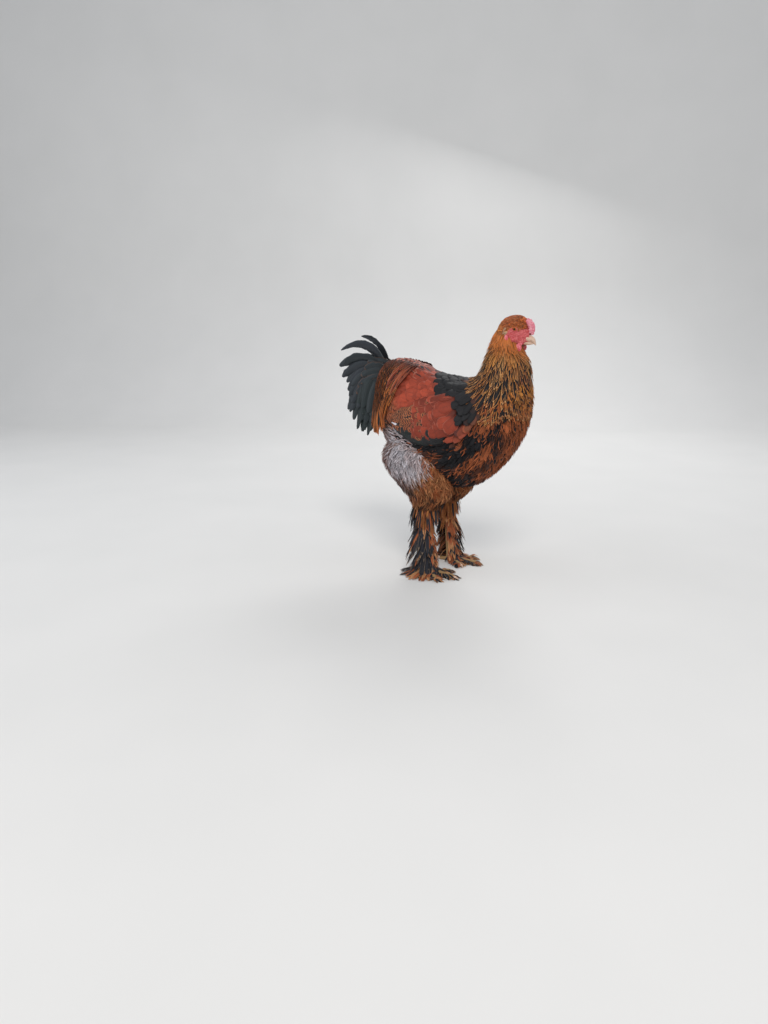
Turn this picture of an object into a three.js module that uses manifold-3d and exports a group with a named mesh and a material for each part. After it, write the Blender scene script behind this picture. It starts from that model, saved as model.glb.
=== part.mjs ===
// A standing Brahma cockerel at life size, in millimetres.
// +X is the way the bird faces, +Y its left side, +Z up, and the floor is z = 0.
import * as THREE from "three";
import { mergeVertices } from "three/addons/utils/BufferGeometryUtils.js";
import Module from "manifold-3d";

const wasm = await Module();
wasm.setup();

const GAP = 0.3; // clear space kept between neighbouring pieces
const LEG_SPREAD = 56; // each leg stands this far from the middle
const HEAD = { x: 181, z: 589 }; // middle of the skull
const EYE = { x: 13, y: 18.6, z: 3, r: 7, detail: 1 }; // from the middle of the skull
// Feathers: thickness, depth of the root, height just past the root, and share of the row.
const VANE = { thick: 1.1, tip: 0.6, sink: 3, clear: 1.8, fill: 0.46 };

// Stations of the trunk and neck from rump to nape: the back line, the belly and breast line, and the half
// width.
const TRUNK = [
  { top: [-156, 462], low: [-157, 440], half: 10 },
  { top: [-150, 494], low: [-152, 385], half: 44 },
  { top: [-130, 511], low: [-137, 326], half: 68 },
  { top: [-98, 513], low: [-108, 276], half: 87 },
  { top: [-55, 505], low: [-62, 243], half: 99 },
  { top: [-8, 491], low: [-10, 224], half: 105 },
  { top: [40, 484], low: [46, 216], half: 107 },
  { top: [74, 481], low: [104, 228], half: 106 },
  { top: [94, 485], low: [154, 266], half: 101 },
  { top: [104, 493], low: [193, 315], half: 94 },
  { top: [110, 503], low: [219, 368], half: 85 },
  { top: [115, 516], low: [229, 424], half: 73 },
  { top: [120, 534], low: [227, 478], half: 60 },
  { top: [126, 554], low: [223, 516], half: 47 },
  { top: [134, 575], low: [206, 546], half: 33 },
  { top: [147, 601], low: [194, 587], half: 18 },
];
const LAST = TRUNK.length - 1;
const TRUNK_GRID = { rings: 24, sides: 22 };
// The coat stands this far out of the neck and rump, and their cores lie that much deeper.
const COAT = { neck: 6, rump: 5 };

// Where the trunk is parted, each as two points of the side view.
const RUMP_CUT = [
  [-52, 0],
  [-52, 100],
];
const NECK_CUT = [
  [94, 462],
  [250, 400],
];
const HEAD_CUT = [
  [139, 595],
  [215, 547],
];

// Stations of the head: place ahead of the middle of the skull, top, bottom and half width.
const SKULL = [
  { x: -33, top: 4, low: -8, half: 9 },
  { x: -29, top: 15, low: -22, half: 17 },
  { x: -19, top: 25.5, low: -31, half: 22.5 },
  { x: -5, top: 31, low: -34.5, half: 25 },
  { x: 9, top: 32.5, low: -35, half: 25.5 },
  { x: 20, top: 30.5, low: -34, half: 23.5 },
  { x: 28, top: 24, low: -33, half: 19 },
  { x: 35, top: 13, low: -32, half: 14.5 },
  { x: 40, top: 2, low: -30.5, half: 11 },
];
const SKULL_GRID = { rings: 11, sides: 16 };
const SKULL_FULL = 0.85; // below 1 the section is fuller than an ellipse, as the broad brow is

// Stations of a thigh from inside the body down to the hock.
const THIGH = [
  { z: 345, x: -28, y: 44, along: 62, across: 34 },
  { z: 318, x: -34, y: 52, along: 82, across: 46 },
  { z: 288, x: -36, y: 58, along: 90, across: 52 },
  { z: 256, x: -26, y: 60, along: 86, across: 51 },
  { z: 226, x: -10, y: 59, along: 74, across: 46 },
  { z: 198, x: 2, y: 58, along: 58, across: 38 },
  { z: 174, x: -3, y: 57, along: 38, across: 30 },
  { z: 154, x: -9, y: 56.5, along: 25, across: 22 },
  { z: 136, x: -8, y: 56, along: 18, across: 16 },
];
const THIGH_GRID = { rings: 10, sides: 14 };

// A folded wing lies on the trunk: its span along the body, and its middle and half height in degrees round
// it.
const WING = { from: 0.5, to: 0.24, middle: [63, 90], spread: [30, 22], thick: 9.5 };

// A saddle feather leaves the surface at hang, and drops by fall from there.
const SADDLE = { front: 0.33, rear: 0.11, hang: 0.7, sweep: 126, fall: 250 };

const TAIL_ROOT = { x: -163, z: 464, size: [33, 27, 50] };

const MIDDLE_TOE = 74;
const TOES = [
  { name: "middle", turn: 4, length: MIDDLE_TOE, r: 7 },
  { name: "inner", turn: -34, length: 0.74 * MIDDLE_TOE, r: 6.2 },
  { name: "outer", turn: 42, length: 0.78 * MIDDLE_TOE, r: 6.2 },
  { name: "hind", turn: 188, length: 0.4 * MIDDLE_TOE, r: 5.6 },
];
const HOCK = { x: -8, z: 148, r: 12 };
const ANKLE = { x: 6, z: 17, r: 11 };
const ANKLE_CUT = [
  [0, ANKLE.z + 9],
  [100, ANKLE.z + 9],
];
const CLAW = { length: 15, r: 3.6 };

const SIDES = [
  { name: "right", sign: -1 },
  { name: "left", sign: 1 },
];

const RED_BROWN = 0x7e3420;
const GOLD = 0xa8642c;
const BLACK = 0x15161a;
const DARK_BROWN = 0x4a3426;
const FACE_RED = 0xc23a40;
const HORN = 0xcdb48e;

const bird = new THREE.Group();
const v3 = (x, y, z) => new THREE.Vector3(x, y, z);
const degrees = THREE.MathUtils.degToRad;
const mix = THREE.MathUtils.lerp;
const smooth = THREE.MathUtils.smoothstep;

// Random draws that come out alike each time, from -1 to 1.
function draws(seed) {
  let state = seed;
  return () => {
    state = (state * 1664525 + 1013904223) % 4294967296;
    return (2 * state) / 4294967296 - 1;
  };
}

// Joins rings of points, each with the same count, into one closed surface with flat ends.
function ringSurface(rings) {
  const count = rings[0].length;
  const index = [];
  for (let i = 0; i + 1 < rings.length; i++)
    for (let j = 0; j < count; j++) {
      const a = i * count + j;
      const b = i * count + ((j + 1) % count);
      index.push(a, b, b + count, a, b + count, a + count);
    }
  const last = (rings.length - 1) * count;
  for (let j = 1; j + 1 < count; j++) {
    index.push(0, j + 1, j);
    index.push(last, last + j, last + j + 1);
  }
  return new THREE.BufferGeometry().setFromPoints(rings.flat()).setIndex(index);
}

// A smooth line of numbers through evenly counted stations.
function along(stations, pick) {
  const points = stations.map((s, i) => v3(i, pick(s), 0));
  const curve = new THREE.CatmullRomCurve3(points, false, "catmullrom", 0.5);
  return (t) => curve.getPoint(THREE.MathUtils.clamp(t, 0, 1)).y;
}

// The geometry with only its places, its shared corners merged and its empty triangles gone.
function merged(geometry) {
  const bare = new THREE.BufferGeometry();
  bare.setAttribute("position", geometry.getAttribute("position"));
  if (geometry.index) bare.setIndex(geometry.index);
  const joined = mergeVertices(bare, 1e-4);
  const all = joined.index.array;
  const kept = [];
  for (let i = 0; i < all.length; i += 3) {
    const [a, b, c] = all.slice(i, i + 3);
    if (a !== b && b !== c && a !== c) kept.push(a, b, c);
  }
  return joined.setIndex(kept);
}

// A closed geometry as a solid, with its faces turned out, and pushed out by grow where that is asked.
function solid(geometry, grow = 0) {
  const joined = merged(geometry);
  const place = joined.getAttribute("position");
  const triVerts = new Uint32Array(joined.index.array);
  const corner = [v3(), v3(), v3()];
  let volume = 0;
  for (let i = 0; i < triVerts.length; i += 3) {
    corner.forEach((c, k) => c.fromBufferAttribute(place, triVerts[i + k]));
    volume += corner[0].dot(corner[1].clone().cross(corner[2]));
  }
  if (volume < 0) triVerts.reverse();
  if (grow) {
    joined.setIndex(new THREE.BufferAttribute(triVerts, 1));
    joined.computeVertexNormals();
    const out = joined.getAttribute("normal");
    for (let i = 0; i < place.count; i++)
      place.setXYZ(
        i,
        place.getX(i) + grow * out.getX(i),
        place.getY(i) + grow * out.getY(i),
        place.getZ(i) + grow * out.getZ(i),
      );
  }
  return new wasm.Manifold(
    new wasm.Mesh({ numProp: 3, vertProperties: place.array, triVerts }),
  );
}

const union = (solids) => solids.reduce((whole, s) => whole.add(s));
const joinedSolid = (geometries, grow = 0) => union(geometries.map((g) => solid(g, grow)));
const largest = (s) =>
  s.decompose().reduce((a, b) => (a.volume() > b.volume() ? a : b));

// Adds one named piece to the bird.
function piece(name, shape, colour, roughness = 0.7, metalness = 0) {
  const mesh = largest(shape).getMesh();
  const geometry = new THREE.BufferGeometry();
  const place = new THREE.BufferAttribute(mesh.vertProperties, mesh.numProp);
  geometry.setAttribute("position", place);
  geometry.setIndex(new THREE.BufferAttribute(mesh.triVerts, 1));
  geometry.computeVertexNormals();
  const material = new THREE.MeshStandardMaterial({ color: colour, roughness, metalness });
  const made = new THREE.Mesh(geometry, material);
  made.name = name;
  bird.add(made);
}

// The part of a solid that lies on one side of a line of the side view, kept back from it by clear.
function beyond(shape, [from, to], side, clear = GAP / 2) {
  const normal = v3(from[1] - to[1], 0, to[0] - from[0]).normalize().multiplyScalar(side);
  return shape.trimByPlane(normal.toArray(), normal.dot(v3(from[0], 0, from[1])) + clear);
}

// An egg shape with its own three half sizes.
function egg(at, size, detail = 2) {
  const ball = new THREE.IcosahedronGeometry(1, detail);
  ball.scale(...size);
  ball.translate(...at);
  return ball;
}

// A round bar of changing thickness along points, flattened by flat across its width.
function bar(points, radii, sides, flat = 1) {
  const curve = new THREE.CatmullRomCurve3(points);
  const rings = radii.map((radius, i) => {
    const t = i / (radii.length - 1);
    const ahead = curve.getTangent(t);
    const side = Math.abs(ahead.z) > 0.99 ? v3(0, 1, 0) : v3(0, 0, 1).cross(ahead).normalize();
    const up = ahead.clone().cross(side);
    return Array.from({ length: sides }, (_, j) => {
      const angle = (2 * Math.PI * (j + 0.5)) / sides;
      return curve
        .getPoint(t)
        .addScaledVector(side, radius * Math.cos(angle))
        .addScaledVector(up, radius * flat * Math.sin(angle));
    });
  });
  return ringSurface(rings);
}

// Outlines of feathers: place along the feather, and share of its full half width there.
const LANCET = [
  [0, 0.4],
  [0.14, 0.72],
  [0.62, 1],
  [1, 0.14],
];
const ROUND = [
  [0, 0.4],
  [0.14, 0.74],
  [0.74, 1],
  [1, 0.4],
];
const SICKLE = [
  [0, 0.4],
  [0.3, 0.92],
  [0.58, 1],
  [0.84, 0.7],
  [1, 0.12],
];

const SADDLE_FORM = [
  [0, 0.4],
  [0.14, 0.7],
  [0.4, 0.96],
  [0.7, 0.9],
  [1, 0.14],
];

// A thin closed vane. frame(t) gives its middle, the way across and the way out of its face, and both faces
// are split along the same diagonals.
function vane(form, half, frame) {
  const points = [];
  for (const [t, width] of form) {
    const { at, across, out } = frame(t);
    const reach = half * width;
    const thick = mix(VANE.thick, VANE.tip, t) / 2;
    for (const lift of [thick, -thick])
      for (const way of [-1, 1])
        points.push(at.clone().addScaledVector(across, way * reach).addScaledVector(out, lift));
  }
  const index = [];
  const quad = (a, b, c, d) => index.push(a, b, c, a, c, d);
  for (let i = 0; i + 1 < form.length; i++) {
    const [a, b, under, beside] = [0, 1, 2, 3].map((k) => 4 * i + k);
    quad(a, b, b + 4, a + 4);
    index.push(under, beside + 4, beside, under, under + 4, beside + 4);
    quad(a, a + 4, under + 4, under);
    quad(b, beside, beside + 4, b + 4);
  }
  const tip = 4 * (form.length - 1);
  quad(0, 2, 3, 1);
  quad(tip, tip + 1, tip + 3, tip + 2);
  return new THREE.BufferGeometry().setFromPoints(points).setIndex(index);
}

// One row of vanes over a surface, side by side, each as wide as its share of the row. The surface is
// place(across, down, lift), and the vanes run from root to tip in down and rise from it as they go.
function row(place, { count, shift = 0, from = 0, to = 1, root, tip, rise, form, random }) {
  const share = (to - from) / count;
  return Array.from({ length: count }, (_, j) => {
    const middle = from + share * (j + 0.5 + shift);
    const end = tip + 0.03 * random();
    const frame = (t) => {
      const down = mix(root, end, t);
      const lift = t < 0.1 ? -VANE.sink : mix(VANE.clear, rise, t);
      const at = place(middle, down, lift);
      const across = place(middle + share / 2, down, lift).sub(place(middle - share / 2, down, lift));
      const out = place(middle, down, lift + 1).sub(at);
      return { at, across: across.multiplyScalar(VANE.fill), out: out.normalize() };
    };
    return vane(form, 1, frame);
  });
}

// A free vane: it leaves root the way turn points on the floor plan, and its height follows slope and curl.
function plume(root, { turn, length, slope, curl, half, form }) {
  const heading = v3(Math.cos(turn), Math.sin(turn), 0);
  const across = v3(-Math.sin(turn), Math.cos(turn), 0);
  return vane(form, half, (t) => {
    const at = root.clone().addScaledVector(heading, length * t);
    at.z += length * (slope * t + curl * t * t);
    const ahead = heading.clone().setZ(slope + 2 * curl * t).normalize();
    return { at, across, out: ahead.clone().cross(across) };
  });
}

// The trunk's surface. u runs from rump to nape, and angle goes round from the back line over the left side.
const trunkLine = (rail) =>
  new THREE.CatmullRomCurve3(
    TRUNK.map((s) => v3(s[rail][0], s.half, s[rail][1])),
    false,
    "catmullrom",
    0.5,
  );
const backLine = trunkLine("top");
const breastLine = trunkLine("low");

function coatDepth(u) {
  const neck = COAT.neck * smooth(u * LAST, 9, 10.6) * (1 - smooth(u * LAST, 13.4, LAST));
  const rump = COAT.rump * (1 - smooth(u * LAST, 3.6, 5));
  return neck + rump;
}

function trunkPoint(u, angle, lift = 0) {
  const t = THREE.MathUtils.clamp(u, 0, 1);
  const top = backLine.getPoint(t);
  const low = breastLine.getPoint(t);
  const rise = v3(top.x - low.x, 0, top.z - low.z).multiplyScalar(0.5);
  const depth = Math.min(coatDepth(t), top.y / 2);
  const shrink = 1 - depth / rise.length();
  const at = v3(top.x + low.x, 0, top.z + low.z).multiplyScalar(0.5);
  at.addScaledVector(rise, shrink * Math.cos(angle));
  at.y = (top.y - depth) * Math.sin(angle);
  return lift ? at.addScaledVector(trunkOut(t, angle), lift) : at;
}

function trunkOut(u, angle) {
  const step = 0.004;
  const ahead = trunkPoint(Math.min(u + step, 1), angle).sub(trunkPoint(Math.max(u - step, 0), angle));
  const round = trunkPoint(u, angle + step).sub(trunkPoint(u, angle - step));
  return ahead.cross(round).normalize();
}

function trunkGeometry() {
  const { rings, sides } = TRUNK_GRID;
  return ringSurface(
    Array.from({ length: rings + 1 }, (_, i) =>
      Array.from({ length: sides }, (_, j) => trunkPoint(i / rings, (2 * Math.PI * j) / sides)),
    ),
  );
}

const headPoint = (x, y, z) => v3(HEAD.x + x, y, HEAD.z + z);

function headGeometry() {
  const { rings, sides } = SKULL_GRID;
  const top = along(SKULL, (s) => s.top);
  const low = along(SKULL, (s) => s.low);
  const half = along(SKULL, (s) => s.half);
  const ahead = along(SKULL, (s) => s.x);
  return ringSurface(
    Array.from({ length: rings + 1 }, (_, i) =>
      Array.from({ length: sides }, (_, j) => {
        const t = i / rings;
        const angle = (2 * Math.PI * j) / sides;
        const z = (top(t) + low(t) + (top(t) - low(t)) * Math.cos(angle)) / 2;
        const y = half(t) * Math.sign(Math.sin(angle)) * Math.abs(Math.sin(angle)) ** SKULL_FULL;
        return headPoint(ahead(t), y, z);
      }),
    ),
  );
}

function thighGeometry(sign) {
  const { rings, sides } = THIGH_GRID;
  const [x, y, z, long, wide] = ["x", "y", "z", "along", "across"].map((key) => along(THIGH, (s) => s[key]));
  return ringSurface(
    Array.from({ length: rings + 1 }, (_, i) =>
      Array.from({ length: sides }, (_, j) => {
        const t = i / rings;
        const angle = (2 * Math.PI * j) / sides;
        return v3(x(t) + long(t) * Math.cos(angle), sign * y(t) + wide(t) * Math.sin(angle), z(t));
      }),
    ),
  );
}

// Trunk, neck and skull are one form, parted by thin cuts.
const bodyForms = [trunkGeometry(), headGeometry()];
const body = joinedSolid(bodyForms);
const bodyRoom = joinedSolid(bodyForms, GAP);
const thighRoom = joinedSolid(SIDES.map(({ sign }) => thighGeometry(sign)), GAP);
const front = beyond(body, RUMP_CUT, -1);
const neckAndHead = beyond(front, NECK_CUT, 1);
piece("torso", beyond(front, NECK_CUT, -1), RED_BROWN);

// The neck, its hackle in tiers from the head down to the cape that hangs over the shoulders. The edge of
// the cape and the highest roots are counted in stations of the trunk.
const CAPE = { back: 8.4, breast: 10.7, top: 14.1 };
function hacklePlace(across, down, lift) {
  const angle = 2 * Math.PI * across;
  const round = THREE.MathUtils.radToDeg(Math.acos(Math.cos(angle)));
  const edge = mix(CAPE.back, CAPE.breast, smooth(round, 60, 150));
  return trunkPoint(mix(CAPE.top, edge, down) / LAST, angle, lift);
}
function hackle() {
  const random = draws(11);
  const tiers = [
    { count: 11, root: 0.46, tip: 1, rise: 8 },
    { count: 10, root: 0.2, tip: 0.72, rise: 8 },
    { count: 8, root: 0.01, tip: 0.43, rise: 6 },
  ];
  return tiers.flatMap((tier, i) => row(hacklePlace, { ...tier, shift: i / 2, form: LANCET, random }));
}
function wattleForm(sign, size = [9.5, 3.4, 11], detail = 2) {
  const wattle = egg([0, 0, 0], size, detail);
  wattle.rotateX(sign * degrees(14));
  wattle.translate(...headPoint(25, sign * 10.5, -41).toArray());
  return wattle;
}
const wattleRoom = joinedSolid(SIDES.map(({ sign }) => wattleForm(sign, [11, 4.6, 12.6], 1)));
const torsoSide = beyond(bodyRoom, NECK_CUT, -1, -GAP / 2);
const headSide = beyond(beyond(bodyRoom, HEAD_CUT, 1, -GAP / 2), NECK_CUT, 1);
const neckCore = beyond(neckAndHead, HEAD_CUT, -1);
const neckRooms = union([torsoSide, headSide, wattleRoom]);
piece("neck", union([neckCore, joinedSolid(hackle())]).subtract(neckRooms), GOLD);

// A wing, folded against the side: a core with feathers in tiers over it.
function wingPlace(sign) {
  return (across, down, lift) => {
    const full = Math.sin(Math.PI * THREE.MathUtils.clamp(down, 0.001, 0.999) ** 0.62) ** 0.5;
    const open = mix(...WING.spread, down) * mix(0.14, 1, full);
    const q = 2 * across - 1;
    const angle = degrees(mix(...WING.middle, down) + open * q);
    const edge = Math.sqrt(Math.max(0.02, 1 - q * q));
    const thick = WING.thick * edge * mix(0.5, 1, full);
    return trunkPoint(mix(WING.from, WING.to, down), sign * angle, thick + lift);
  };
}
function wingCore(sign) {
  const place = wingPlace(sign);
  const steps = { length: 10, height: 6 };
  return ringSurface(
    Array.from({ length: steps.length + 1 }, (_, i) => {
      const down = i / steps.length;
      const rise = Array.from({ length: steps.height + 1 }, (_, j) => j / steps.height);
      const outer = rise.map((across) => place(across, down, 0));
      const inner = rise.map((across) => place(1 - across, down, -WING.thick - 8));
      return [...outer, ...inner];
    }),
  );
}
function wingFeathers(sign) {
  const random = draws(29 + sign);
  const tiers = [
    { count: 4, root: 0.53, tip: 1.02, rise: 3.5 },
    { count: 4, root: 0.3, tip: 0.78, rise: 5 },
    { count: 3, root: 0.06, tip: 0.54, rise: 5.5 },
  ];
  const spread = { from: 0.05, to: 0.95, form: ROUND, random };
  return tiers.flatMap((tier, i) => row(wingPlace(sign), { ...tier, ...spread, shift: (i % 2) / 4 }));
}
const wingRooms = [];
for (const { name, sign } of SIDES) {
  const shapes = [wingCore(sign), ...wingFeathers(sign)];
  wingRooms.push(joinedSolid(shapes, 2 * GAP));
  piece(`wing_${name}`, joinedSolid(shapes).subtract(bodyRoom).subtract(thighRoom), RED_BROWN);
}

// The rump, with the saddle feathers that sweep back and down from the ridge, and hang free at their tips.
function saddlePlace(sign) {
  return (across, down, lift) => {
    const stay = Math.min(down, SADDLE.hang);
    const start = mix(SADDLE.front, SADDLE.rear, across);
    const fall = SADDLE.fall * (down - stay);
    const at = trunkPoint(start - (start - 0.04) * 0.5 * stay, sign * degrees(SADDLE.sweep * stay), lift);
    return at.add(v3(-0.24 * fall, 0, -fall));
  };
}
function saddle() {
  const random = draws(47);
  const tiers = [
    { count: 5, root: 0.42, tip: 1, rise: 7 },
    { count: 3, root: 0.16, tip: 0.74, rise: 7.5 },
  ];
  return SIDES.flatMap(({ sign }) =>
    tiers.flatMap((tier, i) => row(saddlePlace(sign), { ...tier, shift: i / 3, form: SADDLE_FORM, random })),
  );
}
function ridge() {
  const random = draws(53);
  return [0.31, 0.24].flatMap((start) => {
    const place = (across, down, lift) => trunkPoint(start - 0.12 * down, (across - 0.5) * 0.5, lift);
    return row(place, { count: 1, root: 0, tip: 1, rise: 6, form: LANCET, random });
  });
}
const saddleShapes = [...saddle(), ...ridge()];
const torsoRoom = beyond(bodyRoom, RUMP_CUT, -1, -GAP / 2);
const rumpWhole = union([beyond(body, RUMP_CUT, 1), joinedSolid(saddleShapes)]);
piece("rump", rumpWhole.subtract(union([torsoRoom, thighRoom, ...wingRooms])), RED_BROWN);
const rumpRoom = union([bodyRoom, joinedSolid(saddleShapes, 2 * GAP), joinedSolid(saddleShapes, GAP)]);

// The tail. Each feather bends from its root past a peak to its tip in a plane of its own, splayed outwards.
function tailFeather({ sign, root, peak, tip, layer, splay, half, form = SICKLE }) {
  const curve = new THREE.QuadraticBezierCurve3(
    v3(root[0], sign * layer, root[1]),
    v3(peak[0], sign * (layer + 0.3 * splay), peak[1]),
    v3(tip[0], sign * (layer + splay), tip[1]),
  );
  const out = v3(0, sign, 0);
  return vane(form, half, (t) => ({
    at: curve.getPoint(t),
    across: curve.getTangent(t).cross(out).normalize(),
    out,
  }));
}
const SICKLES = [
  { sign: -1, root: [-150, 486], peak: [-205, 584], tip: [-288, 535], layer: 6, splay: 8, half: 13 },
  { sign: 1, root: [-150, 488], peak: [-176, 572], tip: [-244, 570], layer: 6, splay: 8, half: 9 },
];
// Tips of the lesser sickles and of the coverts below them, down the rear edge of the tail.
const LESSER_TIPS = [
  [-284, 492],
  [-268, 450],
  [-258, 422],
  [-246, 393],
];
const COVERT_TIPS = [
  [-230, 366],
  [-206, 338],
  [-180, 334],
];
function tailFeathers(sign) {
  const random = draws(71 + sign);
  const fan = Array.from({ length: 3 }, (_, i) => {
    const heading = degrees(mix(166, 226, i / 2));
    const far = (r) => [-150 + r * Math.cos(heading), 470 + r * Math.sin(heading)];
    const tip = far(108 + 4 * random());
    return { root: far(8), peak: far(60), tip, layer: 8.5 - 1.5 * i, splay: 5 + i, half: 12, form: ROUND };
  });
  const lesser = LESSER_TIPS.map((tip, i) => {
    const root = [-158, 490 - 13 * i];
    const peak = [mix(root[0], tip[0], 0.6), Math.max(root[1], tip[1]) + 38 - 4 * i];
    return { root, peak, tip, layer: 9 + 2.4 * i, splay: 12 + 3 * i, half: 12 };
  });
  const coverts = COVERT_TIPS.map((tip, i) => {
    const root = [-162, 470 - 18 * i];
    const peak = [mix(root[0], tip[0], 0.75), root[1] + 26 - 3 * i];
    return { root, peak, tip, layer: 20 + 1.5 * Math.sin((Math.PI * i) / 4), splay: 18 + 3 * i, half: 13 };
  });
  return [...fan, ...lesser, ...coverts].map((feather) => tailFeather({ sign, ...feather }));
}
const tailShapes = [
  egg([TAIL_ROOT.x, 0, TAIL_ROOT.z], TAIL_ROOT.size),
  ...SICKLES.map(tailFeather),
  ...SIDES.flatMap(({ sign }) => tailFeathers(sign)),
];
piece("tail", joinedSolid(tailShapes).subtract(rumpRoom), BLACK, 0.45);

// The beak, its upper half hooked over the lower.
const upperLine = [
  headPoint(26, 0, -15),
  headPoint(39, 0, -17),
  headPoint(48, 0, -20.5),
  headPoint(54.5, 0, -31.5),
];
const lowerLine = [
  headPoint(26, 0, -27),
  headPoint(38, 0, -28.5),
  headPoint(46, 0, -29.5),
  headPoint(50, 0, -30.5),
];
const upperBeak = bar(upperLine, [9.6, 9.7, 8.8, 6.6, 4, 0.9], 10, 0.9);
const lowerBeak = bar(lowerLine, [8.4, 8, 6.4, 4, 1.2], 8, 0.7);
const upperRoom = solid(upperBeak, GAP);
const lowerRoom = solid(lowerBeak, GAP);
const NOSTRIL = { x: 41.5, y: 8.6, z: -15.5, size: [3.4, 2, 1.2] };
const nostrils = SIDES.map(({ sign }) => {
  const middle = headPoint(NOSTRIL.x, sign * NOSTRIL.y, NOSTRIL.z);
  return egg(middle.toArray(), NOSTRIL.size, 1);
});
piece("beak_upper", solid(upperBeak).subtract(joinedSolid(nostrils)).subtract(bodyRoom), HORN, 0.4);
piece("beak_lower", solid(lowerBeak).subtract(upperRoom).subtract(bodyRoom), HORN, 0.4);

// The pea comb: three rows of beads from the brow down to the beak.
const COMB = { rings: 10, sides: 6, r: 4.6, beads: 5, rowGap: 5.2 };
function combRow(y, height, from, to) {
  const steps = Array.from({ length: COMB.rings }, (_, i) => i / (COMB.rings - 1));
  const line = steps.map((s) => {
    const t = mix(from, to, s);
    return headPoint(mix(16, 42.5, t), y, mix(26, -6, t ** 1.7) + height);
  });
  const radii = steps.map((s) => {
    const taper = Math.sin(Math.PI * mix(0.16, 0.86, s)) ** 0.7;
    return COMB.r * taper * (0.82 + 0.26 * Math.abs(Math.sin(COMB.beads * Math.PI * s)));
  });
  return bar(line, radii, COMB.sides);
}
const combRows = [
  combRow(0, 4.5, 0, 1),
  combRow(-COMB.rowGap, 0.5, 0.08, 0.9),
  combRow(COMB.rowGap, 0.5, 0.08, 0.9),
];
piece("comb", joinedSolid(combRows).subtract(bodyRoom).subtract(upperRoom), FACE_RED, 0.5);

// Eyes, earlobes and wattles.
for (const { name, sign } of SIDES) {
  const eyeAt = headPoint(EYE.x, sign * EYE.y, EYE.z).toArray();
  piece(`eye_${name}`, solid(egg(eyeAt, [EYE.r, EYE.r, EYE.r], EYE.detail)), 0xb4571c, 0.15);
  const lobe = egg(headPoint(-7, sign * 26, -15).toArray(), [6, 4, 9.5], 1);
  piece(`earlobe_${name}`, solid(lobe).subtract(bodyRoom), FACE_RED, 0.5);
  const hanging = solid(wattleForm(sign)).subtract(bodyRoom).subtract(upperRoom).subtract(lowerRoom);
  piece(`wattle_${name}`, hanging, FACE_RED, 0.5);
}

// The head: lids, ear tufts, sockets and the line of the mouth.
function faceAdditions(sign) {
  const lid = new THREE.TorusGeometry(EYE.r + 0.6, 1.9, 4, 10);
  lid.scale(1.12, 0.92, 0.8);
  lid.rotateX(Math.PI / 2);
  lid.rotateZ(sign * degrees(-9));
  lid.translate(...headPoint(EYE.x, sign * (EYE.y + 5.2), EYE.z).toArray());
  const tuft = [-5, 5].map((off) =>
    plume(headPoint(-6, sign * 22, 3 + 0.5 * off), {
      turn: sign * degrees(140 - off),
      length: 10,
      slope: -0.25,
      curl: -0.5,
      half: 3.2,
      form: LANCET,
    }),
  );
  return [lid, ...tuft];
}
const sockets = SIDES.map(({ sign }) => {
  const r = EYE.r + 1.2 * GAP;
  return egg(headPoint(EYE.x, sign * EYE.y, EYE.z).toArray(), [r, r, r], EYE.detail);
});
const mouth = bar([headPoint(18, 0, -20), headPoint(50, 0, -24)], [1.2, 1.2], 4);
const lobeRooms = SIDES.map(({ sign }) => egg(headPoint(-7, sign * 26, -15).toArray(), [6.4, 4.4, 9.9], 1));
const head = beyond(neckAndHead, HEAD_CUT, 1)
  .add(joinedSolid(SIDES.flatMap(({ sign }) => faceAdditions(sign))).subtract(joinedSolid(lobeRooms)))
  .subtract(joinedSolid([...sockets, mouth]))
  .subtract(beyond(bodyRoom, HEAD_CUT, -1, -GAP / 2));
piece("head", head, 0xa94a2c);

// One leg. Soft feathers close the thigh above the hock, and vanes clothe the outer side of shank and toes.
function hem(sign) {
  return Array.from({ length: 6 }, (_, i) => {
    const turn = (2 * Math.PI * i) / 6;
    const root = v3(-3 + 30 * Math.cos(turn), sign * 57 + 23 * Math.sin(turn), 184);
    return plume(root, { turn, length: 9, slope: -2.6, curl: -2.2, half: 11, form: ROUND });
  });
}
function hockFeathers(sign) {
  return [-20, 20].map((off) => {
    const turn = Math.PI + degrees(off);
    const root = v3(-12 + 12 * Math.cos(turn), sign * LEG_SPREAD + 12 * Math.sin(turn), 164);
    return plume(root, { turn, length: 22, slope: -1.2, curl: -0.9, half: 7, form: LANCET });
  });
}
function shankFeathers(sign) {
  const random = draws(90 + sign);
  const tiers = [
    { z: 114, length: 24, turns: [40, 88, 136] },
    { z: 86, length: 29, turns: [30, 82, 134] },
    { z: 58, length: 28, turns: [40, 88, 136] },
  ];
  return tiers.flatMap(({ z, length, turns }) =>
    turns.map((each) => {
      const turn = sign * degrees(each + 4 * random());
      const lean = (HOCK.x - ANKLE.x) * ((z - ANKLE.z) / (HOCK.z - ANKLE.z));
      const root = v3(ANKLE.x + lean + 7 * Math.cos(turn), sign * (LEG_SPREAD + 1) + 7 * Math.sin(turn), z);
      const slope = 0.15 - 0.1 * random();
      return plume(root, { turn, length: length + 3 * random(), slope, curl: -1.4, half: 9, form: ROUND });
    }),
  );
}
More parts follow.
